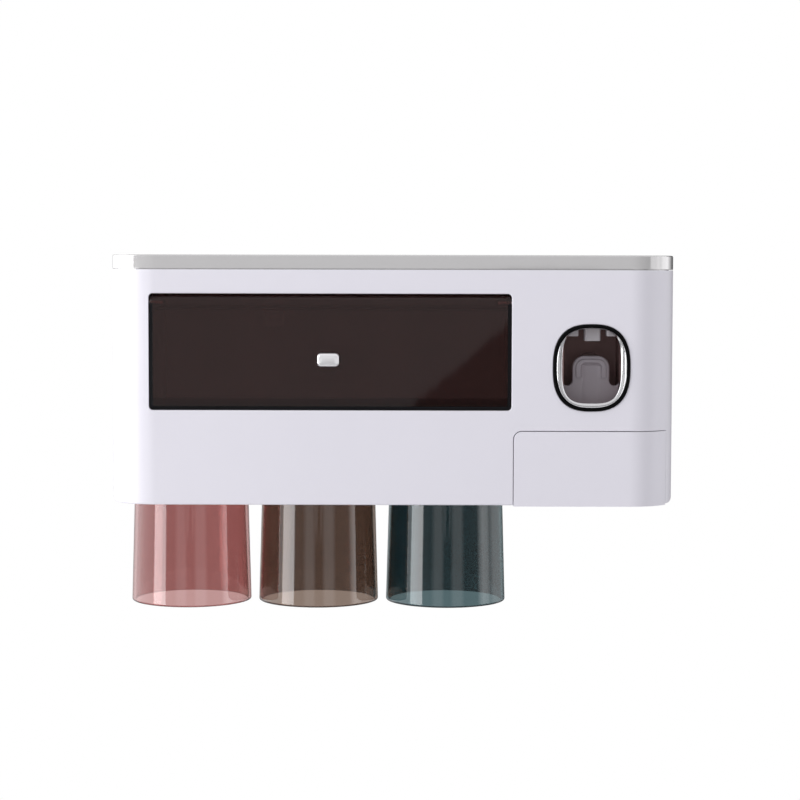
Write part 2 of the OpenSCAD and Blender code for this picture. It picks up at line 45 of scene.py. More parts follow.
# ---------------------------------------------------------------- camera
cam_data = bpy.data.cameras.new("camera")
cam = bpy.data.objects.new("camera", cam_data)
scene.collection.objects.link(cam)
cam_data.sensor_width = 36.0
cam_data.lens = 2065.0 / 800.0 * 36.0
cam_data.clip_start, cam_data.clip_end = 0.01, 50.0
cam.location = (0.00478, -1.4, 0.03478)
cam.matrix_world = (Matrix.Translation(cam.location) @ Matrix.Rotation(math.radians(90 - 3.434), 4, "X")
                    @ Matrix.Rotation(math.radians(0.13), 4, "Z"))
scene.camera = cam


# ---------------------------------------------------------------- shape helpers (millimetres)
def rr(x0, z0, x1, z1, r, n=6):
    """Rounded rectangle outline seen from the front, counter-clockwise from the lower right corner.
    r is one radius, or the radii of the corners lower right, upper right, upper left, lower left."""
    if not isinstance(r, (tuple, list)):
        r = (r,) * 4
    out = []
    for cx, cz, a0, q in ((x1 - r[0], z0 + r[0], -90, r[0]), (x1 - r[1], z1 - r[1], 0, r[1]),
                          (x0 + r[2], z1 - r[2], 90, r[2]), (x0 + r[3], z0 + r[3], 180, r[3])):
        for i in range(n + 1):
            a = math.radians(a0 + 90 * i / n)
            out.append((cx + q * math.cos(a), cz + q * math.sin(a)))
    return out


def rr_in(x0, z0, x1, z1, r, d, n=6):
    """The same outline moved in by d."""
    if not isinstance(r, (tuple, list)):
        r = (r,) * 4
    return rr(x0 + d, z0 + d, x1 - d, z1 - d, tuple(max(q - d, 0.05) for q in r), n)


def se(a, b, e, cx, cz, k=120):
    out = []
    for i in range(k):
        t = 2 * math.pi * i / k
        c, s = math.cos(t), math.sin(t)
        out.append((cx + a * math.copysign(abs(c) ** (2 / e), c), cz + b * math.copysign(abs(s) ** (2 / e), s)))
    return out


def front(pts, y):
    return [(x, y, z) for x, z in pts]


def flat(pts, z):
    return [(x, y, z) for x, y in pts]


def side(pts, x):
    return [(x, y, z) for y, z in pts]


def loft(loops, cap0=True, cap1=True, ring=False):
    """Skin over closed loops of equal length. ring joins the last loop to the first."""
    bm = bmesh.new()
    rows = [[bm.verts.new(p) for p in lp] for lp in loops]
    pairs = list(zip(rows, rows[1:])) + ([(rows[-1], rows[0])] if ring else [])
    for a, b in pairs:
        n = len(a)
        for i in range(n):
            j = (i + 1) % n
            bm.faces.new((a[i], a[j], b[j], b[i]))
    if not ring:
        if cap0:
            bm.faces.new(rows[0])
        if cap1:
            bm.faces.new(rows[-1][::-1])
    tidy(bm)
    return bm


def tidy(bm, dist=1e-4):
    bmesh.ops.remove_doubles(bm, verts=bm.verts, dist=dist)
    bmesh.ops.dissolve_degenerate(bm, edges=bm.edges, dist=dist)
    bmesh.ops.recalc_face_normals(bm, faces=bm.faces)


def turned(profile, axis="z", at=(0, 0, 0), n=96):
    """Closed solid of revolution from a profile of (radius, height) pairs. The profile's ends are on the axis, or it is a closed ring."""
    ends = abs(profile[0][0]) < 1e-9 and abs(profile[-1][0]) < 1e-9
    bm = bmesh.new()
    rows = []
    for r, h in profile:
        if r < 1e-9:
            rows.append([bm.verts.new((0, 0, h))])
        else:
            rows.append([bm.verts.new((r * math.cos(2 * math.pi * i / n), r * math.sin(2 * math.pi * i / n), h)) for i in range(n)])
    pairs = list(zip(rows, rows[1:])) + ([] if ends else [(rows[-1], rows[0])])
    for a, b in pairs:
        for i in range(n):
            j = (i + 1) % n
            if len(a) == 1 and len(b) == 1:
                continue
            if len(a) == 1:
                bm.faces.new((a[0], b[j], b[i]))
            elif len(b) == 1:
                bm.faces.new((a[i], a[j], b[0]))
            else:
                bm.faces.new((a[i], a[j], b[j], b[i]))
    if axis == "y":      # height runs along +Y
        m = Matrix(((1, 0, 0), (0, 0, 1), (0, -1, 0))).to_4x4()
    elif axis == "x":    # height runs along +X
        m = Matrix(((0, 0, 1), (1, 0, 0), (0, 1, 0))).to_4x4()
    else:
        m = Matrix.Identity(4)
    bm.transform(Matrix.Translation(at) @ m)
    tidy(bm)
    return bm


def cyl(r, h0, h1, axis="z", at=(0, 0, 0), n=64, e=0.0, e0=None, k=3):
    """Cylinder with edges rounded by e (e0 at its start)."""
    e0 = e if e0 is None else e0
    pts = [(0, h0)]
    pts += [(r - e0 + e0 * math.sin(a), h0 + e0 - e0 * math.cos(a)) for a in np.linspace(0, math.pi / 2, k + 1)] if e0 > 0 else [(r, h0)]
    pts += [(r - e + e * math.cos(a), h1 - e + e * math.sin(a)) for a in np.linspace(0, math.pi / 2, k + 1)] if e > 0 else [(r, h1)]
    pts.append((0, h1))
    return turned(pts, axis, at, n)


def block(x0, y0, z0, x1, y1, z1, e=0.0, k=2):
    bm = bmesh.new()
    bmesh.ops.create_cube(bm, size=1.0, matrix=Matrix.Translation(((x0 + x1) / 2, (y0 + y1) / 2, (z0 + z1) / 2))
                          @ Matrix.Diagonal((x1 - x0, y1 - y0, z1 - z0, 1)))
    if e > 0:
        bmesh.ops.bevel(bm, geom=list(bm.edges), offset=e, segments=k, profile=0.5, affect="EDGES")
    bmesh.ops.recalc_face_normals(bm, faces=bm.faces)
    return bm


def slab(outline, y0, y1, e=0.6, e1=None, k=3, inset=None):
    """Plate between y0 (towards the user) and y1 with rounded rims. inset(d) gives the outline moved in by d."""
    e1 = e if e1 is None else e1
    loops = []
    for a in np.linspace(0, math.pi / 2, k + 1):
        loops.append(front(inset(e * (1 - math.sin(a))), y0 + e * (1 - math.cos(a))))
    for a in np.linspace(math.pi / 2, 0, k + 1):
        loops.append(front(inset(e1 * (1 - math.sin(a))), y1 - e1 * (1 - math.cos(a))))
    return loft(loops)


def rounded_slab(x0, z0, x1, z1, r, y0, y1, e=0.6, e1=None, k=3, n=6):
    return slab(None, y0, y1, e, e1, k, inset=lambda d: rr_in(x0, z0, x1, z1, r, d, n))


def flare(inset, y_face, depth, y_end, k=4, out=1.0):
    """Cutter for an opening in a wall whose face is at y_face: its rim comes out rounded by depth. inset(d) moves the outline in by d."""
    loops = [front(inset(-depth * 1.02), y_face - out)]
    for a in np.linspace(0, math.pi / 2, k + 1):
        loops.append(front(inset(-depth * 1.02 * (1 - math.sin(a))), y_face + depth - depth * 1.02 * math.cos(a)))
    loops.append(front(inset(0), y_end))
    return loft(loops)


def move(bm, v):
    bmesh.ops.translate(bm, verts=bm.verts, vec=v)
    return bm


def merged(*parts):
    """One mesh from several closed ones that don't touch."""
    out = bmesh.new()
    for p in parts:
        me = bpy.data.meshes.new("t")
        p.to_mesh(me)
        p.free()
        out.from_mesh(me)
        bpy.data.meshes.remove(me)
    return out


def holder(bm, name="work"):
    me = bpy.data.meshes.new(name)
    bm.to_mesh(me)
    bm.free()
    o = bpy.data.objects.new(name, me)
    scene.collection.objects.link(o)
    return o


def boolean(a, cutters, op="DIFFERENCE"):
    """a (a bmesh) with each cutter taken away from it, or joined on, or kept in common."""
    o = holder(a)
    made = []
    for c in cutters:
        t = holder(c, "cutter")
        made.append(t)
        m = o.modifiers.new("b", "BOOLEAN")
        m.operation, m.solver, m.object = op, "EXACT", t
    bpy.context.view_layer.update()
    dg = bpy.context.evaluated_depsgraph_get()
    me = bpy.data.meshes.new_from_object(o.evaluated_get(dg))
    out = bmesh.new()
    out.from_mesh(me)
    bpy.data.meshes.remove(me)
    for t in made + [o]:
        d = t.data
        bpy.data.objects.remove(t)
        bpy.data.meshes.remove(d)
    bmesh.ops.remove_doubles(out, verts=out.verts, dist=2e-4)
    bmesh.ops.dissolve_degenerate(out, edges=out.edges, dist=2e-4)
    return out


def less(a, *cutters):
    return boolean(a, cutters, "DIFFERENCE")


def plus(a, *others):
    return boolean(a, others, "UNION")


def common(a, *others):
    return boolean(a, others, "INTERSECT")


def round_edges(bm, offset, segments, test, angle=25):
    es = []
    for e in bm.edges:
        if len(e.link_faces) == 2 and math.degrees(e.calc_face_angle(0)) > angle and test(e):
            es.append(e)
    if es:
        bmesh.ops.bevel(bm, geom=es, offset=offset, segments=segments, profile=0.5, affect="EDGES", clamp_overlap=True)
    return bm


def mid(e):
    return (e.verts[0].co + e.verts[1].co) / 2


def piece(name, bm, body, mats, replaces=(), angle=32, weighted=True):
    """A finished piece from a mesh in millimetres."""
    me = bpy.data.meshes.new(name)
    bm.to_mesh(me)
    bm.free()
    me.transform(TO_M)
    me.update()
    for p in me.polygons:
        p.use_smooth = True
    me.set_sharp_from_angle(angle=math.radians(angle))
    o = bpy.data.objects.new(name, me)
    scene.collection.objects.link(o)
    for m in (mats if isinstance(mats, (tuple, list)) else (mats,)):
        me.materials.append(m)
    if weighted:
        w = o.modifiers.new("normals", "WEIGHTED_NORMAL")
        w.keep_sharp, w.mode, w.weight = True, "FACE_AREA_WITH_ANGLE", 50
    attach(o, body)
    if replaces:
        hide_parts(*replaces)
    return o


# ---------------------------------------------------------------- materials
def srgb(r, g, b):
    return tuple(((c / 255) / 12.92 if c <= 10.31 else ((c / 255 + 0.055) / 1.055) ** 2.4) for c in (r, g, b))


class Graph:
    def __init__(self, name):
        self.mat = bpy.data.materials.new(name)
        self.mat.use_nodes = True
        self.t = self.mat.node_tree
        self.t.nodes.clear()
        self.out = self.t.nodes.new("ShaderNodeOutputMaterial")
        self.bsdf = self.t.nodes.new("ShaderNodeBsdfPrincipled")
        self.link(self.bsdf.outputs[0], self.out.inputs[0])
        self.coord = self.t.nodes.new("ShaderNodeTexCoord")

    def link(self, a, b):
        self.t.links.new(a, b)

    def set(self, name, v):
        self.bsdf.inputs[name].default_value = v

    def noise(self, scale, detail=3.0, rough=0.55, stretch=None, distortion=0.0):
        n = self.t.nodes.new("ShaderNodeTexNoise")
        n.inputs["Scale"].default_value = scale
        n.inputs["Detail"].default_value = detail
        n.inputs["Roughness"].default_value = rough
        n.inputs["Distortion"].default_value = distortion
        src = self.coord.outputs["Object"]
        if stretch:
            m = self.t.nodes.new("ShaderNodeMapping")
            m.inputs["Scale"].default_value = stretch
            self.link(src, m.inputs[0])
            src = m.outputs[0]
        self.link(src, n.inputs["Vector"])
        return n.outputs["Fac"]

    def ramp(self, fac, stops):
        r = self.t.nodes.new("ShaderNodeValToRGB")
        e = r.color_ramp.elements
        while len(e) < len(stops):
            e.new(0.5)
        for i, (p, c) in enumerate(stops):
            e[i].position = p
            e[i].color = (*c, 1) if isinstance(c, tuple) else (c, c, c, 1)
        self.link(fac, r.inputs[0])
        return r.outputs[0]

    def span(self, fac, a, b, lo=0.35, hi=0.65):
        m = self.t.nodes.new("ShaderNodeMapRange")
        m.inputs["From Min"].default_value, m.inputs["From Max"].default_value = lo, hi
        m.inputs["To Min"].default_value, m.inputs["To Max"].default_value = a, b
        self.link(fac, m.inputs["Value"])
        return m.outputs[0]

    def math(self, op, a, b=None):
        m = self.t.nodes.new("ShaderNodeMath")
        m.operation = op
        for i, v in enumerate((a, b)):
            if v is None:
                continue
            if isinstance(v, (int, float)):
                m.inputs[i].default_value = v
            else:
                self.link(v, m.inputs[i])
        return m.outputs[0]

    def mix(self, fac, a, b):
        m = self.t.nodes.new("ShaderNodeMix")
        m.data_type = "RGBA"
        for sock, v in ((m.inputs[0], fac), (m.inputs[6], a), (m.inputs[7], b)):
            if isinstance(v, (int, float)):
                sock.default_value = v
            elif isinstance(v, tuple):
                sock.default_value = (*v, 1)
            else:
                self.link(v, sock)
        return m.outputs[2]

    def edges(self, lo=0.505, hi=0.56):
        g = self.t.nodes.new("ShaderNodeNewGeometry")
        return self.span(g.outputs["Pointiness"], 0.0, 1.0, lo, hi)

    def bump(self, height, strength, distance, prev=None):
        b = self.t.nodes.new("ShaderNodeBump")
        b.inputs["Strength"].default_value = strength
        b.inputs["Distance"].default_value = distance
        self.link(height, b.inputs["Height"])
        if prev is not None:
            self.link(prev, b.inputs["Normal"])
        return b.outputs[0]


def scaled(c, k):
    return tuple(min(1.0, x * k) for x in c)


def plastic(name, col, rough=0.35, vary=0.03, rvar=0.06, grain=0.03, grain_scale=1400, spec=0.5, tint=None, coat=0.0, coat_rough=0.08,
            edge=0.04, scuff=0.5, ior=1.5, fleck=1.0, metallic=0.0):
    """Moulded plastic: faint cloudiness of colour, fine moulded texture, polish that varies, hairline scuffs and slightly worn edges."""
    g = Graph(name)
    cloud = g.noise(22, 4)
    c = g.ramp(cloud, [(0.3, scaled(col, 1 - vary)), (0.7, scaled(tint or col, 1 + vary))])
    c = g.mix(g.span(g.noise(2600, 2), 0.0, vary * 1.5 * fleck, 0.45, 0.75), c, scaled(col, 0.7))
    if edge:
        c = g.mix(g.math("MULTIPLY", g.edges(), edge * 4), c, scaled(col, 1.12))
    g.link(c, g.bsdf.inputs["Base Color"])
    smudge = g.noise(75, 5, 0.65)
    r = g.span(smudge, rough - rvar, rough + rvar)
    hair = g.noise(260, 6, 0.8, stretch=(0.12, 1.0, 2.6), distortion=0.6)
    scratch = g.span(hair, 0.0, 0.10 * scuff, 0.62, 0.72)
    g.link(g.math("ADD", r, scratch), g.bsdf.inputs["Roughness"])
    n1 = g.bump(g.noise(grain_scale, 3, 0.6), 0.35, grain * 0.001)
    wave = g.noise(14, 2)          # slight sink and flow of the moulding
    n2 = g.bump(wave, 0.12, 0.0006, n1)
    n3 = g.bump(hair, 0.05 * scuff, 0.00003, n2)
    g.link(n3, g.bsdf.inputs["Normal"])
    g.set("IOR", ior)
    g.set("Specular IOR Level", spec)
    g.set("Metallic", metallic)
    if coat:
        g.set("Coat Weight", coat)
        g.set("Coat Roughness", coat_rough)
    return g.mat


def metal(name, col, rough=0.2, rvar=0.06, brushed=None, grain=0.01, vary=0.05, aniso=0.0):
    g = Graph(name)
    cloud = g.noise(40, 4)
    c = g.ramp(cloud, [(0.3, scaled(col, 1 - vary)), (0.7, scaled(col, 1 + vary))])
    wear = g.math("MULTIPLY", g.edges(0.51, 0.6), 0.25)
    c = g.mix(wear, c, scaled(col, 1.2))
    g.link(c, g.bsdf.inputs["Base Color"])
    g.set("Metallic", 1.0)
    n = g.noise(180, 5, 0.7, stretch=brushed) if brushed else g.noise(120, 5, 0.7)
    g.link(g.span(n, max(rough - rvar, 0.02), rough + rvar), g.bsdf.inputs["Roughness"])
    h = g.noise(1500, 4, 0.6, stretch=brushed) if brushed else g.noise(900, 3)
    g.link(g.bump(h, 0.3, grain * 0.001), g.bsdf.inputs["Normal"])
    return g.mat


def clear(name, col, rough=0.03, vary=0.05, ior=1.49, grain=0.004, haze=0.03, spec=0.5, weight=1.0, low_band=None):
    """Tinted transparent plastic: flow lines, faint water marks in the polish and a tint that isn't quite even."""
    g = Graph(name)
    flow = g.noise(30, 3, 0.5, stretch=(1.0, 1.0, 0.25))
    c = g.ramp(flow, [(0.3, scaled(col, 1 - vary)), (0.7, scaled(col, 1 + vary))])
    g.link(c, g.bsdf.inputs["Base Color"])
    g.set("Transmission Weight", weight)
    if low_band:      # less cloudy below a height: (from, to, weight there)
        xyz = g.t.nodes.new("ShaderNodeSeparateXYZ")
        g.link(g.coord.outputs["Object"], xyz.inputs[0])
        wob = g.math("ADD", xyz.outputs[2], g.span(g.noise(40, 3), -0.0003, 0.0003))
        g.link(g.span(wob, low_band[2], weight, low_band[0], low_band[1]), g.bsdf.inputs["Transmission Weight"])
    g.set("IOR", ior)
    g.set("Specular IOR Level", spec)
    marks = g.noise(160, 5, 0.7)
    g.link(g.span(marks, rough, rough + haze, 0.5, 0.75), g.bsdf.inputs["Roughness"])
    h = g.noise(60, 2, stretch=(1.0, 1.0, 0.2))
    n1 = g.bump(h, 0.10, 0.0002)
    g.link(g.bump(g.noise(900, 2), 0.2, grain * 0.001, n1), g.bsdf.inputs["Normal"])
    return g.mat


def rubber(name, col, rough=0.55, grain=0.05, vary=0.08, spec=0.4, scale=1800, dust=0.06):
    g = Graph(name)
    c = g.ramp(g.noise(60, 4), [(0.3, scaled(col, 1 - vary)), (0.7, scaled(col, 1 + vary))])
    c = g.mix(g.span(g.noise(500, 6, 0.7), 0.0, dust, 0.55, 0.8), c, (0.45, 0.45, 0.45))
    g.link(c, g.bsdf.inputs["Base Color"])
    g.link(g.span(g.noise(110, 4), rough - 0.07, rough + 0.07), g.bsdf.inputs["Roughness"])
    g.link(g.bump(g.noise(scale, 4, 0.6), 0.5, grain * 0.001), g.bsdf.inputs["Normal"])
    g.set("Specular IOR Level", spec)
    return g.mat


def silicone(name, col, rough=0.4, weight=0.35):
    g = Graph(name)
    c = g.ramp(g.noise(70, 4), [(0.3, scaled(col, 0.95)), (0.7, scaled(col, 1.03))])
    g.link(c, g.bsdf.inputs["Base Color"])
    g.set("Transmission Weight", weight)
    g.set("IOR", 1.41)
    g.link(g.span(g.noise(150, 4), rough - 0.08, rough + 0.08), g.bsdf.inputs["Roughness"])
    g.link(g.bump(g.noise(1500, 3), 0.4, 0.00003), g.bsdf.inputs["Normal"])
    return g.mat


def foam(name, col):
    g = Graph(name)
    v = g.t.nodes.new("ShaderNodeTexVoronoi")
    v.inputs["Scale"].default_value = 1400
    g.link(g.coord.outputs["Object"], v.inputs["Vector"])
    c = g.ramp(v.outputs["Distance"], [(0.1, scaled(col, 0.6)), (0.6, scaled(col, 1.15))])
    g.link(c, g.bsdf.inputs["Base Color"])
    g.link(g.span(g.noise(90, 4), 0.8, 0.95), g.bsdf.inputs["Roughness"])
    g.link(g.bump(v.outputs["Distance"], 0.8, 0.0002), g.bsdf.inputs["Normal"])
    return g.mat


BODY = srgb(232, 230, 239)
m_shell = plastic("shell_satin", BODY, rough=0.34, vary=0.006, rvar=0.02, grain=0.012, spec=0.5, edge=0.01, scuff=0.12, fleck=0.5)
m_tray = plastic("tray_silver", srgb(203, 202, 202), rough=0.06, vary=0.008, rvar=0.012, grain=0.002, spec=0.5, edge=0.01, scuff=0.1, fleck=0.5, metallic=0.6)
m_cover = plastic("cover_charcoal", srgb(58, 56, 57), rough=0.55, vary=0.05, grain=0.09, grain_scale=900, edge=0.03)
m_plate = plastic("plate_grey", srgb(104, 104, 107), rough=0.45, vary=0.02, grain=0.06, grain_scale=1000)
m_liner = plastic("liner_brown", srgb(58, 47, 46), rough=0.42, vary=0.06, rvar=0.08, grain=0.05)
m_cavity = plastic("cavity_brown", srgb(150, 123, 121), rough=0.6, vary=0.04, rvar=0.06, grain=0.06, spec=0.3)
m_rack = plastic("rack_grey", srgb(70, 64, 64), rough=0.45, vary=0.04, grain=0.04)
m_deck = plastic("deck_white", srgb(215, 215, 220), rough=0.5, vary=0.02, grain=0.06)
m_drawer_in = plastic("drawer_white", srgb(224, 223, 228), rough=0.4, vary=0.015, grain=0.03)
m_rail = plastic("rail_acetal", srgb(205, 205, 208), rough=0.45, vary=0.02, grain=0.03)
m_pump = plastic("pump_white", srgb(218, 218, 216), rough=0.42, vary=0.03, grain=0.04)
m_lever = plastic("lever_mauve", srgb(157, 150, 157), rough=0.36, vary=0.02, rvar=0.05, grain=0.025, spec=0.5)
m_nozzle = plastic("nozzle_grey", srgb(176, 172, 176), rough=0.38, vary=0.02, grain=0.025)
m_door = clear("door_smoked", srgb(128, 88, 84), rough=0.015, vary=0.05, ior=1.34, haze=0.02, weight=0.93, low_band=(-0.0424, -0.0414, 0.985))
# black on the door's bevelled border is painted shade: it stands in for the dark seen through the clear panel's edge
m_door_border_painted_shade = rubber("door_border_painted_shade", (0.004, 0.004, 0.005), rough=0.5, spec=0.12, vary=0.2, dust=0.015)
m_cups = {
    "left": clear("cup_rose", srgb(194, 151, 149), rough=0.01, haze=0.015, vary=0.03),
    "middle": clear("cup_taupe", srgb(136, 118, 107), rough=0.01, haze=0.015, vary=0.03),
    "right": clear("cup_slate", srgb(80, 101, 105), rough=0.01, haze=0.015, vary=0.03),
}
# black ring round the window is a painted reflection: black stands in for the dark surroundings mirrored in the
# chrome's outer slope
m_ring_painted_reflection = rubber("gasket_black", (0.002, 0.002, 0.0024), rough=0.3, grain=0.008, spec=0.06, dust=0.012)
m_chrome = metal("bezel_chrome", (0.64, 0.64, 0.65), rough=0.15, rvar=0.012, grain=0.0006, vary=0.02)
m_knob = metal("knob_satin", (0.86, 0.86, 0.87), rough=0.32, rvar=0.05, brushed=(0.2, 1, 1.5), grain=0.004)
m_screw = metal("screw_zinc", (0.66, 0.66, 0.68), rough=0.32, brushed=None, grain=0.01, vary=0.08)
m_disc = metal("disc_steel", (0.7, 0.7, 0.72), rough=0.25, brushed=(0.1, 1, 1), grain=0.006)
m_nickel = metal("magnet_nickel", (0.7, 0.68, 0.64), rough=0.18, grain=0.004)
m_spring = metal("spring_wire", (0.62, 0.62, 0.64), rough=0.28, grain=0.01)
m_black_steel = metal("catch_black", (0.035, 0.034, 0.034), rough=0.42, grain=0.006)
m_plunger = plastic("plunger_brown", srgb(104, 85, 83), rough=0.6, vary=0.04, grain=0.05, spec=0.3)
m_sil = silicone("silicone_clear", srgb(225, 224, 218))
m_socket = silicone("silicone_grey", srgb(120, 120, 124), rough=0.5, weight=0.0)
m_foam = foam("foam_grey", srgb(78, 78, 82))

# ---------------------------------------------------------------- sizes repeated from the CAD source (millimetres)
W, YF, R = 178.8, -108.0, 30.0
CY = YF + R
LOWX, LOWZ = 4.4, 3.2
WX, WZ, MX = 124.8, 86.6, 125.8
CUPS = (("left", -130.6), ("middle", -48.0), ("right", 34.6))
CUP_Y = -62.0
DX0, DX1, DZ0, DZ1 = -152.2, 74.2, 60.1, 132.2
PY, PZ, BEAD = YF + 5.2, 127.0, 5.2
KX, KZ = -40.1, 91.5
DRW = -95.4


def outline(d=0.0, seg=24, yb=-1.0):
    r, w = R - d, W - d
    out = [(-w, yb)]
    out += [(-(W - R) + r * math.cos(a), CY + r * math.sin(a)) for a in np.linspace(math.pi, 1.5 * math.pi, seg + 1)]
    out += [((W - R) + r * math.cos(a), CY + r * math.sin(a)) for a in np.linspace(1.5 * math.pi, 2 * math.pi, seg + 1)]
    out.append((w, yb))
    return out


def lower(x):
    """Height of the shell's underside, which rises at its two ends."""
    q = (abs(x) - (W - LOWX)) / LOWX
    return 0.0 if q <= 0 else LOWZ * (1 - math.sqrt(max(0.0, 1 - min(q, 1.0) ** 2)))


def columns(cols, zb, zt, yb):
    """Solid between an outline seen from above and the plane yb, with a lower and an upper edge that depend on x."""
    bm = bmesh.new()
    f0 = [bm.verts.new((x, y, zb(x))) for x, y in cols]
    f1 = [bm.verts.new((x, y, zt(x))) for x, y in cols]
    b0 = [bm.verts.new((x, yb, zb(x))) for x, y in cols]
    b1 = [bm.verts.new((x, yb, zt(x))) for x, y in cols]
    for i in range(len(cols) - 1):
        j = i + 1
        bm.faces.new((f0[i], f0[j], f1[j], f1[i]))
        bm.faces.new((b0[i], b1[i], b1[j], b0[j]))
        bm.faces.new((f1[i], f1[j], b1[j], b1[i]))
        bm.faces.new((f0[i], b0[i], b0[j], f0[j]))
    for i, j in ((0, 0), (-1, -1)):
        bm.faces.new((f0[i], f1[i], b1[i], b0[i]))
    bmesh.ops.remove_doubles(bm, verts=bm.verts, dist=1e-4)
    bad = [f for f in bm.faces if f.calc_area() < 1e-6]
    bmesh.ops.delete(bm, geom=bad, context="FACES_ONLY")
    bmesh.ops.dissolve_degenerate(bm, edges=bm.edges, dist=1e-4)
    bmesh.ops.recalc_face_normals(bm, faces=bm.faces)
    return bm


# ---------------------------------------------------------------- shell
def build_shell():
    cols = outline(0)
    solid = columns(cols, lower, lambda x: 147.72, -1.0)
    # round the edges along the top, and those along the underside towards the front
    round_edges(solid, 0.7, 3, lambda e: mid(e).z > 147.6)
    round_edges(solid, 0.9, 3, lambda e: mid(e).z < 6.0 and mid(e).y < -2.0)
    hollow = loft([flat(outline(2.5, 16, 5.0), 2.5), flat(outline(2.5, 16, 5.0), 170.0)])
    win = lambda d: se(24.25 - d, 27.3 - d, 2.6, WX, WZ)
    cutters = [
        hollow,
        flare(lambda d: rr_in(DX0 - 0.5, DZ0 - 0.5, DX1 + 0.5, DZ1 + 0.5, 2.5, d), YF, 0.7, -104.5),
        flare(win, YF, 0.5, -104.5),
        flare(lambda d: rr_in(75.9, -30, 240, 46.9, (1, 1, 5.4, 1), d), YF, 0.45, DRW + 0.3),
        block(150, -96, 2.5, 171, -80, 44),
    ]
    for _, x in CUPS:
        cutters.append(turned([(0, -2), (38.8, -2), (38.8, 0)] + [(38.0 + 0.8 * (1 - math.sin(a)), 0.8 - 0.8 * math.cos(a)) for a in np.linspace(0.15, math.pi / 2, 4)]
                              + [(38.0, 5), (0, 5)], "z", (x, CUP_Y, 0), 96))
    slot = loft([flat([(x, z) for x, z in rr(-150.6, -21.1, 72.6, -9.4, 3.5)], -2), flat([(x, z) for x, z in rr(-150.6, -21.1, 72.6, -9.4, 3.5)], -0.01),
                 flat([(x, z) for x, z in rr(-150, -20.5, 72, -10, 3)], 0.7), flat([(x, z) for x, z in rr(-150, -20.5, 72, -10, 3)], 5)])
    cutters.append(slot)
    for x in (-89.3, -6.7):
        for y in (-98, -27):
            cutters.append(turned([(0, -1), (3.7, -1), (3.7, 0), (3.4, 0.3), (3.4, 1.6), (1.7, 1.6), (1.7, 5), (0, 5)], "z", (x, y, 0), 32))
    body = less(solid, *cutters)
    # bosses for the back cover's screws and posts for the dispenser
    posts = []
    cx = W - 2.5 - 5.2
    for x, z in ((-cx, 14), (-cx, 138), (cx, 53), (cx, 138)):
        posts.append(turned([(1.4, -34.0), (5.4, -34.0), (5.4, -8.9), (5.0, -8.5), (1.4, -8.5)], "y", (x, 0, z), 40))
    for sx in (-1, 1):
        for sz in (-1, 1):
            posts.append(turned([(1.3, -105.7), (3.4, -105.7), (3.4, -99.9), (3.0, -99.5), (1.3, -99.5)], "y", (MX + sx * 25.2, 0, WZ + sz * 24), 32))
    return plus(body, *posts)


piece("shell", build_shell(), "housing", m_shell, ("front_shell",))


# ---------------------------------------------------------------- tray
def tray_loop(d, z, seg=20):
    r, w = R - d, W - d
    rb = max(3.0 - d, 0.4)
    yb = -1.0 - d
    out = [(-w + rb + rb * math.cos(a), yb - rb + rb * math.sin(a)) for a in np.linspace(math.pi / 2, math.pi, 5)]
    out += [(-(W - R) + r * math.cos(a), CY + r * math.sin(a)) for a in np.linspace(math.pi, 1.5 * math.pi, seg + 1)]
    out += [((W - R) + r * math.cos(a), CY + r * math.sin(a)) for a in np.linspace(1.5 * math.pi, 2 * math.pi, seg + 1)]
    out += [(w - rb + rb * math.cos(a), yb - rb + rb * math.sin(a)) for a in np.linspace(0, math.pi / 2, 5)]
    return flat(out, z)


def build_tray():
    rows = [(4.6, 148.0), (4.6, 144.5), (2.75, 144.5), (2.75, 148.12), (0.35, 148.12), (0.10, 148.22), (0.0, 148.5), (0.0, 156.2)]
    rows += [(0.9 - 0.9 * math.cos(a), 156.1 + 0.9 * math.sin(a)) for a in np.linspace(0.2, math.pi / 2, 5)]
    rows += [(1.2 + 0.8 * math.sin(a), 156.2 + 0.8 * math.cos(a)) for a in np.linspace(0.0, math.pi / 2, 5)]
    rows += [(2.25, 152.2)] + [(4.3 - 2.05 * math.cos(a), 152.0 - 2.0 * math.sin(a)) for a in np.linspace(0.1, math.pi / 2, 6)]
    body = loft([tray_loop(d, z) for d, z in rows])
    collar = turned([(19.0, 149.2)] + [(22.0 + 1.5 - 1.5 * math.sin(a), 150.0 + 1.5 - 1.5 * math.cos(a)) for a in np.linspace(0, math.pi / 2, 5)]
                    + [(22.0, 153.4)] + [(21.0 + 1.0 * math.cos(a), 153.0 + 1.0 * math.sin(a)) for a in np.linspace(0.3, math.pi - 0.3, 7)]
                    + [(20.0, 153.0), (20.0, 149.2)], "z", (MX, -55, 0), 96)
    body = plus(body, collar)
    hole = turned([(0, 146), (20.0, 146), (20.0, 152.9), (19.9, 160), (0, 160)], "z", (MX, -55, 0), 96)
    body = less(body, hole)
    # low ribs that keep wet bottles off the floor of the tray
    ribs = []
    for i in range(9):
        y = -94.0 + i * 10.6
        ribs.append(rounded_bar(-160.0, 96.0, y, 149.8, 150.45, 0.8))
    return plus(body, *ribs)


def rounded_bar(x0, x1, y, z0, z1, half):
    """Low rib with a round top and round ends."""
    loops = []
    for s, z in ((1.0, z0), (1.0, z0 + 0.25), (0.8, z1 - 0.12), (0.45, z1)):
        h = half * s
        pts = [(x1 - half + h * math.cos(a), y + h * math.sin(a)) for a in np.linspace(-math.pi / 2, math.pi / 2, 7)]
        pts += [(x0 + half + h * math.cos(a), y + h * math.sin(a)) for a in np.linspace(math.pi / 2, 1.5 * math.pi, 7)]
        loops.append(flat(pts, z))
    return loft(loops)


piece("tray_top", build_tray(), "housing", m_tray, ("tray",))


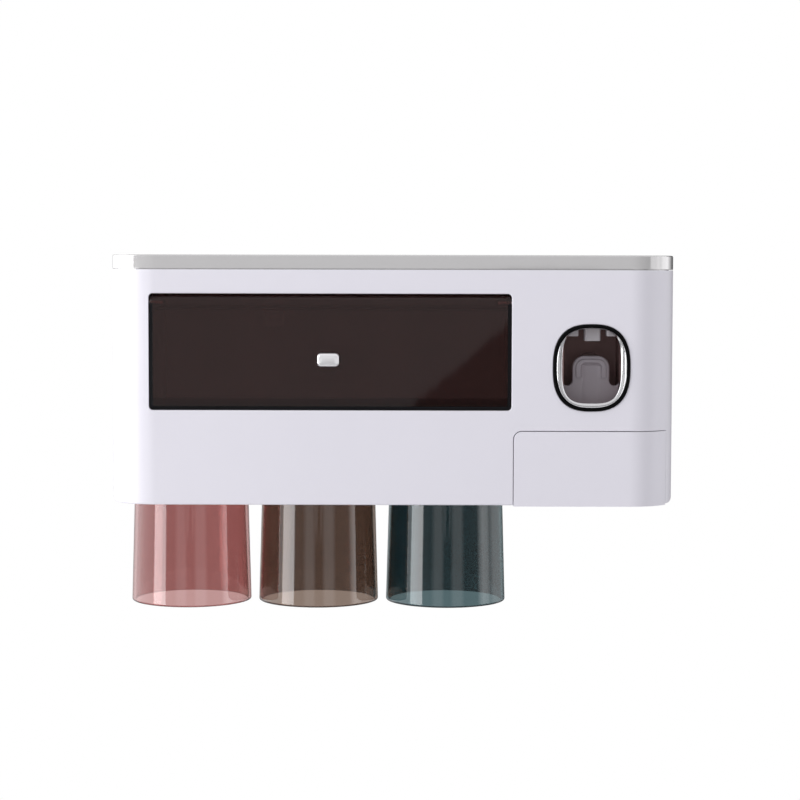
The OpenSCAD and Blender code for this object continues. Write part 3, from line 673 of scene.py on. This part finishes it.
# ---------------------------------------------------------------- smoked door
def build_door():
    # panel with a bevelled border on three sides, painted black as painted shade for the dark seen in the clear panel's
    # edge, joined to the rolled hinge edge
    ins = lambda d: rr_in(DX0, DZ0, DX1, 127.0, (2.0, 0.06, 0.06, 2.0), d, 5)
    def three(d, y):       # moved in on three sides only
        return front(rr(DX0 + d, DZ0 + d, DX1 - d, 127.0, (max(2.0 - d, 0.3), 0.06, 0.06, max(2.0 - d, 0.3)), 5), y)
    loops = [three(0.35, -105.0), three(0.0, -105.35), three(0.0, -107.35), three(0.22, -107.68), three(1.9, -107.93), three(2.0, -107.999)]
    panel = loft(loops)
    for f in panel.faces:
        c = f.calc_center_median()
        if c.y < -105.01 and -108.2 < c.y and abs(f.normal.y) < 0.999 and c.z < 126.9:
            # these border faces take the black painted shade
            f.material_index = 1
    e = 1.8
    prof = [(0, DX0)] + [(BEAD - e + e * math.sin(a), DX0 + e - e * math.cos(a)) for a in np.linspace(0, math.pi / 2, 6)]
    prof += [(BEAD - e + e * math.cos(a), DX1 - e + e * math.sin(a)) for a in np.linspace(0, math.pi / 2, 6)] + [(0, DX1)]
    bead = turned(prof, "x", (0, PY, PZ), 72)
    out = plus(panel, bead)
    bores = [cyl(1.3, DX0 - 1, DX0 + 9, "x", (0, PY, PZ), 24), cyl(1.3, DX1 - 9, DX1 + 1, "x", (0, PY, PZ), 24),
             cyl(2.0, YF - 1, YF + 4, "y", (KX, 0, KZ), 32),
             block(KX - 6, YF + 2.5, 61.5, KX + 6, YF + 4, 66.5)]
    return less(out, *bores)


piece("door_smoked_panel", build_door(), "door", (m_door, m_door_border_painted_shade), ("door_panel",), angle=28)


def build_knob():
    def head(d, y, grow=0.0):
        return front(rr(KX - 6.9 + d, KZ - 4.25 + d, KX + 6.9 - d, KZ + 4.25 - d, max(2.4 - d, 0.5), 6), y)
    loops = [front(rr(KX - 2, KZ - 2, KX + 2, KZ + 2, 1.98, 6), YF + 3), front(rr(KX - 2, KZ - 2, KX + 2, KZ + 2, 1.98, 6), YF + 0.01),
             front(rr(KX - 4, KZ - 2.6, KX + 4, KZ + 2.6, 1.2, 6), YF), front(rr(KX - 4, KZ - 2.6, KX + 4, KZ + 2.6, 1.2, 6), YF - 2.0),
             front(rr(KX - 4.4, KZ - 3.0, KX + 4.4, KZ + 3.0, 1.5, 6), YF - 2.4), head(1.0, YF - 2.55), head(0.3, YF - 2.75), head(0.0, YF - 3.3), head(0.0, YF - 6.0)]
    for a in np.linspace(0.25, math.pi / 2, 6):
        loops.append(head(1.9 * (1 - math.cos(a)), YF - 6.0 - 1.7 * math.sin(a)))
    loops += [head(2.6, YF - 7.85), head(3.4, YF - 7.98)]
    return loft(loops)


piece("knob", build_knob(), "door", m_knob, ("door_knob",))


# ---------------------------------------------------------------- cups
def build_cup(x):
    zt, zb = 30.6, -66.4
    r0, r1 = 36.0, 38.65
    t = 2.1
    prof = [(0, zt - 0.7), (14.0, zt - 0.7), (14.05, zt - 0.1), (14.3, zt)]
    prof += [(r0 - 2.6 + 2.6 * math.sin(a), zt - 2.6 + 2.6 * math.cos(a)) for a in np.linspace(0, math.pi / 2, 7)]
    k = 14
    for i in range(1, k):
        u = i / k
        prof.append((r0 + (r1 - r0) * u, zt - 2.6 + (zb + 1.0 - zt + 2.6) * u))
    prof.append((r1 - 0.02, zb + 1.6))
    c = r1 - t / 2
    prof += [(c + (t / 2) * math.cos(a), zb + 1.05 - 1.05 * math.sin(a)) for a in np.linspace(0, math.pi, 9)]
    prof.append((r1 - t - 0.02, zb + 1.6))
    for i in range(1, k):
        u = i / k
        prof.append((r1 - t + (r0 - 2.2 - r1 + t) * u, zb + 1.0 + (zt - 6.5 - zb - 1.0) * u))
    prof.append((r0 - 2.2, zt - 7.0))
    prof += [(r0 - 5.7 + 3.5 * math.cos(a), zt - 6.5 + 3.5 * math.sin(a)) for a in np.linspace(0, math.pi / 2, 7)]
    prof += [(20, zt - 3.0), (0, zt - 3.0)]
    return turned(prof, "z", (x, CUP_Y, 0), 144)


for nm, x in CUPS:
    piece(f"cup_{nm}_shell", build_cup(x), f"{nm}_cup", m_cups[nm], (f"cup_{nm}",),
          angle=50, weighted=False)


# ---------------------------------------------------------------- dispenser window
# ring outside the chrome bezel, coloured black as a painted dark reflection
def build_painted_reflection_ring():
    def lp(d, y):
        return front(se(24.2 - d, 27.25 - d, 2.6, WX, WZ), y)
    rows = [(0.0, -105.5), (0.0, -108.15)] + [(0.75 - 0.75 * math.cos(a), -108.05 - 0.75 * math.sin(a)) for a in np.linspace(0.15, math.pi / 2, 5)]
    rows += [(1.4 + 0.75 * math.sin(a), -108.05 - 0.75 * math.cos(a)) for a in np.linspace(0, math.pi / 2, 5)] + [(2.15, -105.5)]
    return loft([lp(d, y) for d, y in rows], ring=True)


piece("window_ring_painted_reflection", build_painted_reflection_ring(), "housing", m_ring_painted_reflection, ("window_gasket",), angle=60)


def build_bezel():
    a0, b0 = 22.05 - 0.02, 25.1 - 0.02
    ai, bi, zi = 18.4, 23.25, WZ + 1.05
    def lp(t, y):
        # from the outer outline (t 0) to the opening (t 1)
        e = 2.6 + (3.3 - 2.6) * t
        return front(se(a0 + (ai - a0) * t, b0 + (bi - b0) * t, e, WX, WZ + (zi - WZ) * t, 288), y)
    rows = [(0.0, -105.5), (0.0, -108.65), (0.03, -109.0), (0.08, -109.26), (0.15, -109.4), (0.22, -109.36), (0.29, -109.2), (0.335, -108.95), (0.355, -108.75),
            (0.375, -108.75), (0.40, -108.88), (0.45, -108.9), (0.55, -108.79), (0.65, -108.66), (0.75, -108.51), (0.85, -108.34), (0.92, -108.2), (0.965, -108.08), (0.99, -107.9), (1.0, -107.4), (1.0, -105.5)]
    return loft([lp(t, y) for t, y in rows], ring=True)


piece("window_ring_polished", build_bezel(), "housing", m_chrome, ("bezel_ring",), angle=38)


def build_cavity():
    z0, z1 = WZ - 25.0, WZ + 24.3
    x0, x1 = MX - 18.4, MX + 18.4
    yi, yb = -105.5, -68.0
    outer = lambda d: rr_in(x0 - 2, z0 - 2, x1 + 2, z1 + 2, 3, d)
    flange = rounded_slab(MX - 26, WZ - 29.6, MX + 22.9, WZ + 29.6, 4, yi, yi + 2, 0.4)
    box = loft([front(outer(0), yi + 1), front(outer(0), yb + 1.4), front(outer(0.6), yb + 2.0)])
    posts = [turned([(0, yi + 1.4), (5.6, yi + 1.4), (5.6, -99.9), (5.2, -99.5), (0, -99.5)], "y", (MX + sx * 25.2, 0, WZ + sz * 24), 40) for sx in (-1, 1) for sz in (-1, 1)]
    body = plus(flange, box, *posts)
    inner = loft([front(rr(x0, z0, x1, z1, 1.6), yi - 1), front(rr(x0, z0, x1, z1, 1.6), yb - 1.2), front(rr(x0 + 0.5, z0 + 0.5, x1 - 0.5, z1 - 0.5, 1.4), yb - 0.3),
                  front(rr(x0 + 1.3, z0 + 1.3, x1 - 1.3, z1 - 1.3, 1.0), yb)])
    cut = [inner, cyl(1.5, MX - 22, MX + 22, "x", (0, -86, 67), 32), cyl(4.06, yb - 1, yb + 4, "y", (MX, 0, 88), 40),
           block(MX - 17.1, -102, z1 - 1, MX + 17.1, -92, z1 + 5)]
    cut += [cyl(3.6, -120, -90, "y", (MX + sx * 25.2, 0, WZ + sz * 24), 32) for sx in (-1, 1) for sz in (-1, 1)]
    return less(body, *cut)


piece("dispenser_cavity", build_cavity(), "housing", m_cavity, ("squeezer_housing",))


def build_lever():
    # front outline: full-width foot, two slots with round bottoms, tongue with a rounded top
    def outl(d):
        h, q = 11.8 - d, 18.0 - d
        c, r = 15.0, 3.2 + d
        a0 = -math.acos(min(1.0, (q - c) / r))
        pts = [(q, 62.7 + d), (q, 77.92 + r * math.sin(a0))]
        pts += [(c + r * math.cos(a), 77.9 + r * math.sin(a)) for a in np.linspace(a0, -math.pi, 14)]
        rt = 7.6
        pts += [(h - rt + rt * math.cos(a), 93.6 - d - rt + rt * math.sin(a)) for a in np.linspace(0, math.pi / 2, 13)]
        pts += [(-x, z) for x, z in pts[::-1]]
        return [(MX + x, z) for x, z in pts]
    y0, y1 = -92.0, -88.0
    loops = [front(outl(0.9), y0), front(outl(0.55), y0 + 0.08), front(outl(0.25), y0 + 0.3), front(outl(0.05), y0 + 0.62), front(outl(0.0), y0 + 0.95),
             front(outl(0.0), y1 - 0.4), front(outl(0.35), y1)]
    body = loft(loops)
    foot = block(MX - 18, -92.0 + 0.6, 62.7, MX + 18, -84.0, 72.0, 0.8, 3)
    # raised pad round the top of the tongue, with the ledge that shows in front
    pad = slab(None, -93.2, -91.8, 0.5, 0.2, 3, inset=lambda d: rr(MX - 9.6 + d, 80.0, MX + 9.6 - d, 91.4 - d, (0.3, 5.4 - d, 5.4 - d, 0.3), 8))
    body = plus(body, foot, pad)
    channel = loft([flat([(MX + 6.9 * math.cos(a), -93.9 + 3.1 * math.sin(a)) for a in np.linspace(0, 2 * math.pi, 41)[:-1]], z) for z in (60.0, 87.4)]
                   + [flat([(MX + 5.6 * math.cos(a), -94.6 + 2.3 * math.sin(a)) for a in np.linspace(0, 2 * math.pi, 41)[:-1]], 89.4)])
    pin = cyl(1.56, MX - 20, MX + 20, "x", (0, -86, 67), 32)
    return less(body, channel, pin)


piece("lever_paddle", build_lever(), "lever", m_lever, ("push_lever",), angle=30)


def build_nozzle():
    ny = -97.0
    plate = rounded_slab_z(MX - 18.4, ny - 6, MX + 18.4, ny + 6, 2, 112.9, 114.3, 0.3)
    def blockz(x0, x1, z0):
        rows = [(1.0, z0), (0.6, z0 + 0.1), (0.28, z0 + 0.32), (0.06, z0 + 0.7), (0.0, z0 + 1.1), (0.0, 113.4)]
        return loft([flat(rr(x0 + d, ny - 4.8 + d, x1 - d, ny + 4.8 - d, max(1.3 - d, 0.25), 4), z) for d, z in rows])
    body = plus(plate, blockz(MX - 5.05, MX + 5.05, 103.2), blockz(MX - 16.8, MX - 8.8, 106.2), blockz(MX + 8.8, MX + 16.8, 106.2))
    bore = turned([(0, 100), (4.0, 100), (4.0, 103.2), (3.6, 103.6), (3.6, 108), (2.0, 108), (2.0, 120), (0, 120)], "z", (MX, ny, 0), 40)
    return less(body, bore)


def rounded_slab_z(x0, y0, x1, y1, r, z0, z1, e=0.4, k=2):
    rows = [(e * (1 - math.sin(a)), z0 + e * (1 - math.cos(a))) for a in np.linspace(0, math.pi / 2, k + 1)]
    rows += [(e * (1 - math.sin(a)), z1 - e * (1 - math.cos(a))) for a in np.linspace(math.pi / 2, 0, k + 1)]
    return loft([flat(rr(x0 + d, y0 + d, x1 - d, y1 - d, max(r - d, 0.1), 5), z) for d, z in rows])


piece("nozzle_block", build_nozzle(), "housing", m_nozzle, ("nozzle",))


# ---------------------------------------------------------------- drawer
def build_drawer_front():
    x0, zt, rc = 76.3, 46.45, 5.0
    cols = [(x0, DRW), (x0, YF)]
    cols += [(x0 + rc - rc * math.cos(a), YF) for a in np.linspace(0, math.pi / 2, 9)[1:]]
    cols += [(110.0, YF), (143.0, YF), (W - R, YF)]
    bmax = math.acos((CY - DRW) / R)
    cols += [((W - R) + R * math.sin(b), CY - R * math.cos(b)) for b in np.linspace(0, bmax, 15)[1:]]
    top = lambda x: zt if x >= x0 + rc else zt - rc + math.sqrt(max(0.0, rc * rc - (x0 + rc - x) ** 2))
    low = lambda x: lower(x) - 0.7
    bm = columns(cols, low, top, DRW)
    round_edges(bm, 0.75, 3, lambda e: not (mid(e).y > DRW - 0.01))
    groove = block(108, YF + 4, -4, 143, DRW - 1.6, 6.5, 1.2, 3)
    rin = R - 2.5
    bi = math.acos((CY - DRW - 1) / rin)
    plan = [(x0 + 2.5, DRW + 2), (x0 + 2.5, YF + 2.5), (W - R, YF + 2.5)]
    plan += [((W - R) + rin * math.sin(b), CY - rin * math.cos(b)) for b in np.linspace(0, bi, 13)[1:]]
    plan.append(((W - R) + rin * math.sin(bi), DRW + 2))
    hollow = loft([flat(plan, 10.0), flat(plan, 44.05)])
    body = less(bm, groove, hollow)
    body = plus(body, *[cyl(3.6, YF + 1.5, DRW, "y", (x, 0, 27), 40) for x in (98, 146)])
    return less(body, *[cyl(1.3, -103, -90, "y", (x, 0, 27), 24) for x in (98, 146)])


piece("drawer_face", build_drawer_front(), "drawer", m_shell, ("drawer_front",))


def build_drawer_box():
    x0, x1, z0, z1, y0, y1 = 80.9, 168.6, 3.1, 42.0, DRW, -18.0
    rows = [(0.9, z0), (0.25, z0 + 0.2), (0.0, z0 + 0.9), (0.0, z1 - 0.4), (0.4, z1), (1.4, z1), (1.8, z1 - 0.4), (1.9, z0 + 4.4)]
    rows += [(4.4 - 2.5 * math.cos(a), z0 + 4.3 - 2.5 * math.sin(a)) for a in np.linspace(0.15, math.pi / 2, 6)]
    bm = loft([flat(rr(x0 + d, y0 + d, x1 - d, y1 - d, max(3.0 - d, 0.6) if d < 2 else 2.0, 5), z) for d, z in rows])
    ribs = [block(x0 - 2, y0 + 8, 9.3, x0 + 0.5, y1 - 3, 12.7, 0.4), block(x1 - 0.5, y0 + 8, 9.3, x1 + 2, y1 - 3, 12.7, 0.4)]
    bm = plus(bm, *ribs)
    holes = [cyl(1.6, y0 - 1, y0 + 3, "y", (x, 0, 27), 24) for x in (98, 146)]
    return less(bm, *holes)


piece("drawer_tub", build_drawer_box(), "drawer", m_drawer_in, ("drawer_box",))


# ---------------------------------------------------------------- compartment behind the door
def build_liner():
    x0, x1, z0, z1 = -154.8, 76.6, 57.0, 135.8
    out = lambda d: rr_in(x0, z0, x1, z1, 2.5, d, 5)
    inn = lambda d: rr_in(x0 + 2, z0 + 1.8, x1 - 1.8, z1 - 1.8, 3.0, d, 5)
    loops = [front(out(0), -13.0), front(out(0), -104.3), front(out(0.4), -104.7), front(inn(-0.5), -104.7), front(inn(0), -104.2), front(inn(0), -13.0)]
    body = loft(loops, ring=True)
    lip = loft([side([(-104.7, 58.0), (-102.2, 58.0), (-102.2, 66.7), (-102.45, 67.2), (-102.9, 67.35), (-104.0, 67.35), (-104.5, 67.2), (-104.7, 66.7)], x)
                for x in (x0 + 1.5, x1 - 1.3)])
    body = plus(body, lip)
    cut = [block(x0 - 1, -21, z0 - 1, x1 + 1, 0, z0 + 5), cyl(1.25, x0 - 1, x1 + 1, "x", (0, PY, PZ), 24), block(KX - 6, -106, 61.5, KX + 6, -103.2, 66.5)]
    return less(body, *cut)


piece("compartment", build_liner(), "housing", m_liner, ("compartment_liner",))


def build_rack():
    x0, x1 = -152.5, 74.5
    a = block(x0, -20.9, 57.0, x1, -9.0, 60.8, 0.5, 2)
    b = block(x0, -30.0, 58.8, x1, -20.5, 60.8, 0.5, 2)
    body = plus(a, b)
    cut = []
    for x in (-120, -66, -12, 42):
        def key(d, z, x=x):
            big = [(x + 8.5 + d, -19.0 - d), (x + 18.5, -19.0 - d)]
            pts = rr(x - 8.5 - d, -20 - d, x + 8.5 + d, -10.2 + d, 2.0, 4)
            return flat(pts, z)
        cut.append(loft([key(0.7, 61.6), key(0.7, 60.82), key(0.25, 60.6), key(0.0, 60.1), key(0, 50)]))
        nar = lambda d, z, x=x: flat(rr(x + 4, -19 - d, x + 20 + d, -11 + d, 2.5, 4), z)
        cut.append(loft([nar(0.7, 61.6), nar(0.7, 60.82), nar(0.25, 60.6), nar(0.0, 60.1), nar(0, 50)]))
    return less(body, *cut)


piece("brush_comb", build_rack(), "housing", m_rack, ("brush_rack",))


# ---------------------------------------------------------------- back cover and wall plate
def build_cover():
    hw = W - 2.8
    body = rounded_slab(-hw, 2.8, hw, 147.7, 3, -8.5, -6.0, 0.5)
    ribs = [block(-148, -6.3, z, 148, -4.8, z + 1.6, 0.4) for z in (40, 74)]
    body = plus(body, *ribs)
    cut = []
    for sx in (-1, 1):
        cut.append(flare_back(lambda d, sx=sx: rr_in(sx * 80 - 6.6, 110, sx * 80 + 6.6, 121.3, 0.8, d), -6.0, 0.5, -10))
    cx = W - 2.5 - 5.2
    for x, z in ((-cx, 14), (-cx, 138), (cx, 53), (cx, 138)):
        cut.append(cyl(1.7, -12, 0, "y", (x, 0, z), 24))
    # vents low on the cover
    for i in range(12):
        x = -60 + i * 10.0
        cut.append(flare_back(lambda d, x=x: rr_in(x - 1.2, 12, x + 1.2, 30, 1.19, d, 4), -6.0, 0.4, -10))
    return less(body, *cut)


def flare_back(inset, y_face, depth, y_end, k=3, out=1.0):
    """As flare(), for a face that looks to the back."""
    loops = [front(inset(-depth * 1.02), y_face + out)]
    for a in np.linspace(0, math.pi / 2, k + 1):
        loops.append(front(inset(-depth * 1.02 * (1 - math.sin(a))), y_face - depth + depth * 1.02 * math.cos(a)))
    loops.append(front(inset(0), y_end))
    return loft(loops)


piece("rear_panel", build_cover(), "housing", m_cover, ("back_cover",))


def build_plate():
    body = rounded_slab(-112, 84, 112, 134, 8, -3, 0, 0.6, 0.2)
    adds = []
    for sx in (-1, 1):
        adds.append(block(sx * 80 - 6, -12, 118, sx * 80 + 6, -2.5, 121, 0.5))
        adds.append(block(sx * 80 - 6, -12, 118, sx * 80 + 6, -9.5, 127, 0.6))
        for g in (-4.5, 3):
            adds.append(block(sx * 80 + g, -5.5, 114, sx * 80 + g + 1.5, -2.5, 118.4, 0.3))
    body = plus(body, *adds)
    cut = []
    for sx in (-1, 1):
        for sz in (-1, 1):
            cut.append(turned([(0, -5), (3.4, -5), (3.4, -3.0), (2.9, -2.6), (2.25, -2.2), (2.25, 1), (0, 1)], "y", (sx * 100, 0, 109 + sz * 17), 40))
        cut.append(loft([front(rr(sx * 40 - 28, 90, sx * 40 + 28, 128, 4), -0.8), front(rr(sx * 40 - 28, 90, sx * 40 + 28, 128, 4), 1)]))
    return less(body, *cut)


piece("wall_bracket", build_plate(), "wall_mount", m_plate, ("wall_plate",))

# ---------------------------------------------------------------- CAD nodes that keep their shape
KEEP = {
    "adhesive_pads": m_foam, "cup_deck": m_deck, "deck_magnets": m_nickel, "magnet_caps": m_deck, "knob_screw": m_screw, "catch_plate": m_black_steel,
    "catch_magnet": m_black_steel, "door_pins": m_screw, "cup_disc_left": m_disc, "cup_disc_middle": m_disc, "cup_disc_right": m_disc,
    "lever_pin": m_screw, "plunger": m_plunger, "plunger_spring": m_spring, "pump_body": m_pump, "pump_diaphragm": m_sil, "pump_cover": m_pump,
    "inlet_valve": m_sil, "outlet_valve": m_sil, "paste_duct": m_pump, "tube_socket": m_socket, "drawer_rail_left": m_rail,
    "drawer_rail_right": m_rail, "case_screws": m_screw, "deck_screws": m_screw, "squeezer_screws": m_screw, "pump_screws": m_screw, "drawer_screws": m_screw,
}
for n, m in KEEP.items():
    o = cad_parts[n]
    if not o.material_slots:
        o.data.materials.append(m)
    for s in o.material_slots:
        s.material = m

# ---------------------------------------------------------------- floor and light
g = Graph("floor_pale")
c = g.ramp(g.noise(1.5, 3), [(0.3, (0.86, 0.86, 0.87)), (0.7, (0.9, 0.9, 0.9))])
g.link(c, g.bsdf.inputs["Base Color"])
g.link(g.span(g.noise(8, 3), 0.75, 0.85), g.bsdf.inputs["Roughness"])
fl = bmesh.new()
bmesh.ops.create_grid(fl, x_segments=12, y_segments=12, size=0.5)
me = bpy.data.meshes.new("floor")
fl.to_mesh(me)
fl.free()
floor = bpy.data.objects.new("floor", me)
floor.scale = (9.0, 4.4, 1)
floor.location = (0, -0.7, -0.9)
me.materials.append(g.mat)
scene.collection.objects.link(floor)

world = bpy.data.worlds.new("studio")
scene.world = world
world.use_nodes = True
wt = world.node_tree
wt.nodes.clear()
wo = wt.nodes.new("ShaderNodeOutputWorld")
mixs = wt.nodes.new("ShaderNodeMixShader")
bg_env = wt.nodes.new("ShaderNodeBackground")
bg_cam = wt.nodes.new("ShaderNodeBackground")
bg_cam.inputs[0].default_value = (1, 1, 1, 1)
bg_cam.inputs[1].default_value = 1.0
lp = wt.nodes.new("ShaderNodeLightPath")
mx = wt.nodes.new("ShaderNodeMath")
mx.operation = "MAXIMUM"
wt.links.new(lp.outputs["Is Camera Ray"], mx.inputs[0])
wt.links.new(lp.outputs["Is Transmission Ray"], mx.inputs[1])
wt.links.new(mx.outputs[0], mixs.inputs[0])
wt.links.new(bg_env.outputs[0], mixs.inputs[1])
wt.links.new(bg_cam.outputs[0], mixs.inputs[2])
wt.links.new(mixs.outputs[0], wo.inputs[0])
tc = wt.nodes.new("ShaderNodeTexCoord")
sep = wt.nodes.new("ShaderNodeSeparateXYZ")
wt.links.new(tc.outputs["Generated"], sep.inputs[0])


def wmath(op, a, b=None):
    m = wt.nodes.new("ShaderNodeMath")
    m.operation = op
    for i, v in enumerate((a, b)):
        if v is None:
            continue
        if isinstance(v, (int, float)):
            m.inputs[i].default_value = v
        else:
            wt.links.new(v, m.inputs[i])
    return m.outputs[0]


def band(v, lo, hi):
    """0 below lo, 1 above hi, smooth between."""
    m = wt.nodes.new("ShaderNodeMapRange")
    m.interpolation_type = "SMOOTHSTEP"
    m.inputs["From Min"].default_value, m.inputs["From Max"].default_value = lo, hi
    wt.links.new(v, m.inputs["Value"])
    return m.outputs[0]


def wmix(t, a, b):
    """a + (b - a) t"""
    return wmath("ADD", a, wmath("MULTIPLY", t, wmath("SUBTRACT", b, a)))


PEAK = 10.0


def room(stops):
    """Brightness round the room: 0 degrees is behind the camera, positive is to the right."""
    r = wt.nodes.new("ShaderNodeValToRGB")
    els = r.color_ramp.elements
    while len(els) < len(stops):
        els.new(0.5)
    for e, (deg, v) in zip(els, stops):
        e.position = deg / 360 + 0.5
        e.color = (v / PEAK, v / PEAK, v / PEAK, 1)
    wt.links.new(turn, r.inputs[0])
    return wmath("MULTIPLY", r.outputs[0], PEAK)


dx, dy, dz = sep.outputs[0], wmath("MULTIPLY", sep.outputs[1], -1.0), sep.outputs[2]
az = wmath("ARCTAN2", dx, dy)
turn = wmath("ADD", wmath("DIVIDE", az, 2 * math.pi), 0.5)
el = wmath("MULTIPLY", wmath("ARCSINE", dz), 180 / math.pi)
off = wmath("ABSOLUTE", wmath("MULTIPLY", az, 180 / math.pi))
# what glossy surfaces see: upper part of the room (tray, door, window), and the lower part (cups)
high = room([(-180, 0.25), (-164, 0.6), (-152, 1.2), (-136, 2.4), (-118, 3.2), (-112, 4.6), (-63, 4.6), (-61, 0.85), (-30, 0.85), (-6, 0.8), (12, 0.8), (30, 0.7),
             (40, 0.65), (55, 0.6), (57.5, 1.15), (64, 1.25), (74, 1.25), (79, 1.5), (88, 1.3), (96, 1.7), (116, 1.8), (128, 0.9), (140, 0.2), (158, 0.04), (180, 0.02)])
low = room([(-180, 0.02), (-150, 0.6), (-118, 1.9), (-73.5, 1.6), (-72, 7.4), (-47.5, 7.4), (-46, 0.5), (-30, 0.3), (-21, 1.25), (-9, 1.25), (-3, 0.25), (8, 0.2),
            (15, 1.25), (29, 1.3), (37, 0.25), (64, 0.35), (71, 2.0), (78, 3.2), (90, 2.4), (97, 1.2), (108, 1.7), (125, 1.1), (150, 0.2), (180, 0.02)])
sill = wmath("SUBTRACT", -2.2, wmath("MULTIPLY", wmath("SUBTRACT", 1.0, band(off, 8.0, 10.0)), 1.7))
below = band(wmath("SUBTRACT", sill, el), -0.3, 0.4)
shine = wmix(below, high, low)
# a dark screen behind the camera, whose slanting edge shows in the door
su = wmath("DIVIDE", dx, wmath("MAXIMUM", dy, 0.05))
sv = wmath("DIVIDE", dz, wmath("MAXIMUM", dy, 0.05))
edge = wmath("SUBTRACT", wmath("MULTIPLY", wmath("SUBTRACT", su, 0.005), 0.84), wmath("ADD", sv, 0.0627))
screen = wmath("MULTIPLY", band(edge, -0.0012, 0.0022), wmath("MULTIPLY", band(dy, 0.0, 0.05), wmath("SUBTRACT", 1.0, band(su, 0.08, 0.11))))
screen = wmath("MULTIPLY", screen, wmath("MULTIPLY", wmath("SUBTRACT", 1.0, below), wmath("SUBTRACT", 1.0, band(el, -1.5, -1.1))))
shine = wmath("MULTIPLY", shine, wmath("SUBTRACT", 1.0, wmath("MULTIPLY", screen, 0.82)))
# ceiling, the edge of the bright sweep below, dull floor
shine = wmix(band(el, 18.0, 50.0), shine, 1.0)
shine = wmix(band(wmath("MULTIPLY", el, -1.0), 22.0, 34.0), shine, 1.5)
shine = wmix(band(wmath("MULTIPLY", el, -1.0), 55.0, 68.0), shine, 0.55)
# what lights the matt surfaces: soft, brighter from the left and from the front
soft = wmath("ADD", 0.486, wmath("ADD", wmath("MULTIPLY", dx, -0.22), wmath("MULTIPLY", dy, 0.2)))
glossy = lp.outputs["Is Glossy Ray"]
bg_env.inputs[0].default_value = (1.0, 0.995, 1.01, 1)
wt.links.new(wmix(glossy, soft, shine), bg_env.inputs[1])


def area(name, loc, target, w, h, power, col=(1, 1, 1)):
    d = bpy.data.lights.new(name, "AREA")
    d.shape, d.size, d.size_y, d.energy, d.color = "RECTANGLE", w, h, power, col
    o = bpy.data.objects.new(name, d)
    scene.collection.objects.link(o)
    o.location = loc
    o.rotation_mode = "QUATERNION"
    o.rotation_quaternion = (Vector(target) - Vector(loc)).to_track_quat("-Z", "Y")
    o.visible_camera = False
    o.visible_glossy = False
    return o


area("key_left", (-1.5, -0.65, 0.06), (-0.02, -0.09, 0.0), 0.55, 1.3, 15.5)
area("fill_right", (1.15, -0.22, 0.05), (0.1, -0.09, 0.0), 0.5, 1.2, 1.4)
area("top", (0.0, -0.40, 1.1), (0.0, -0.06, 0.0), 1.4, 0.6, 5.0)

scene.view_settings.view_transform = "Standard"
scene.view_settings.look = "None"
scene.view_settings.exposure = 0.0
scene.view_settings.gamma = 1.0
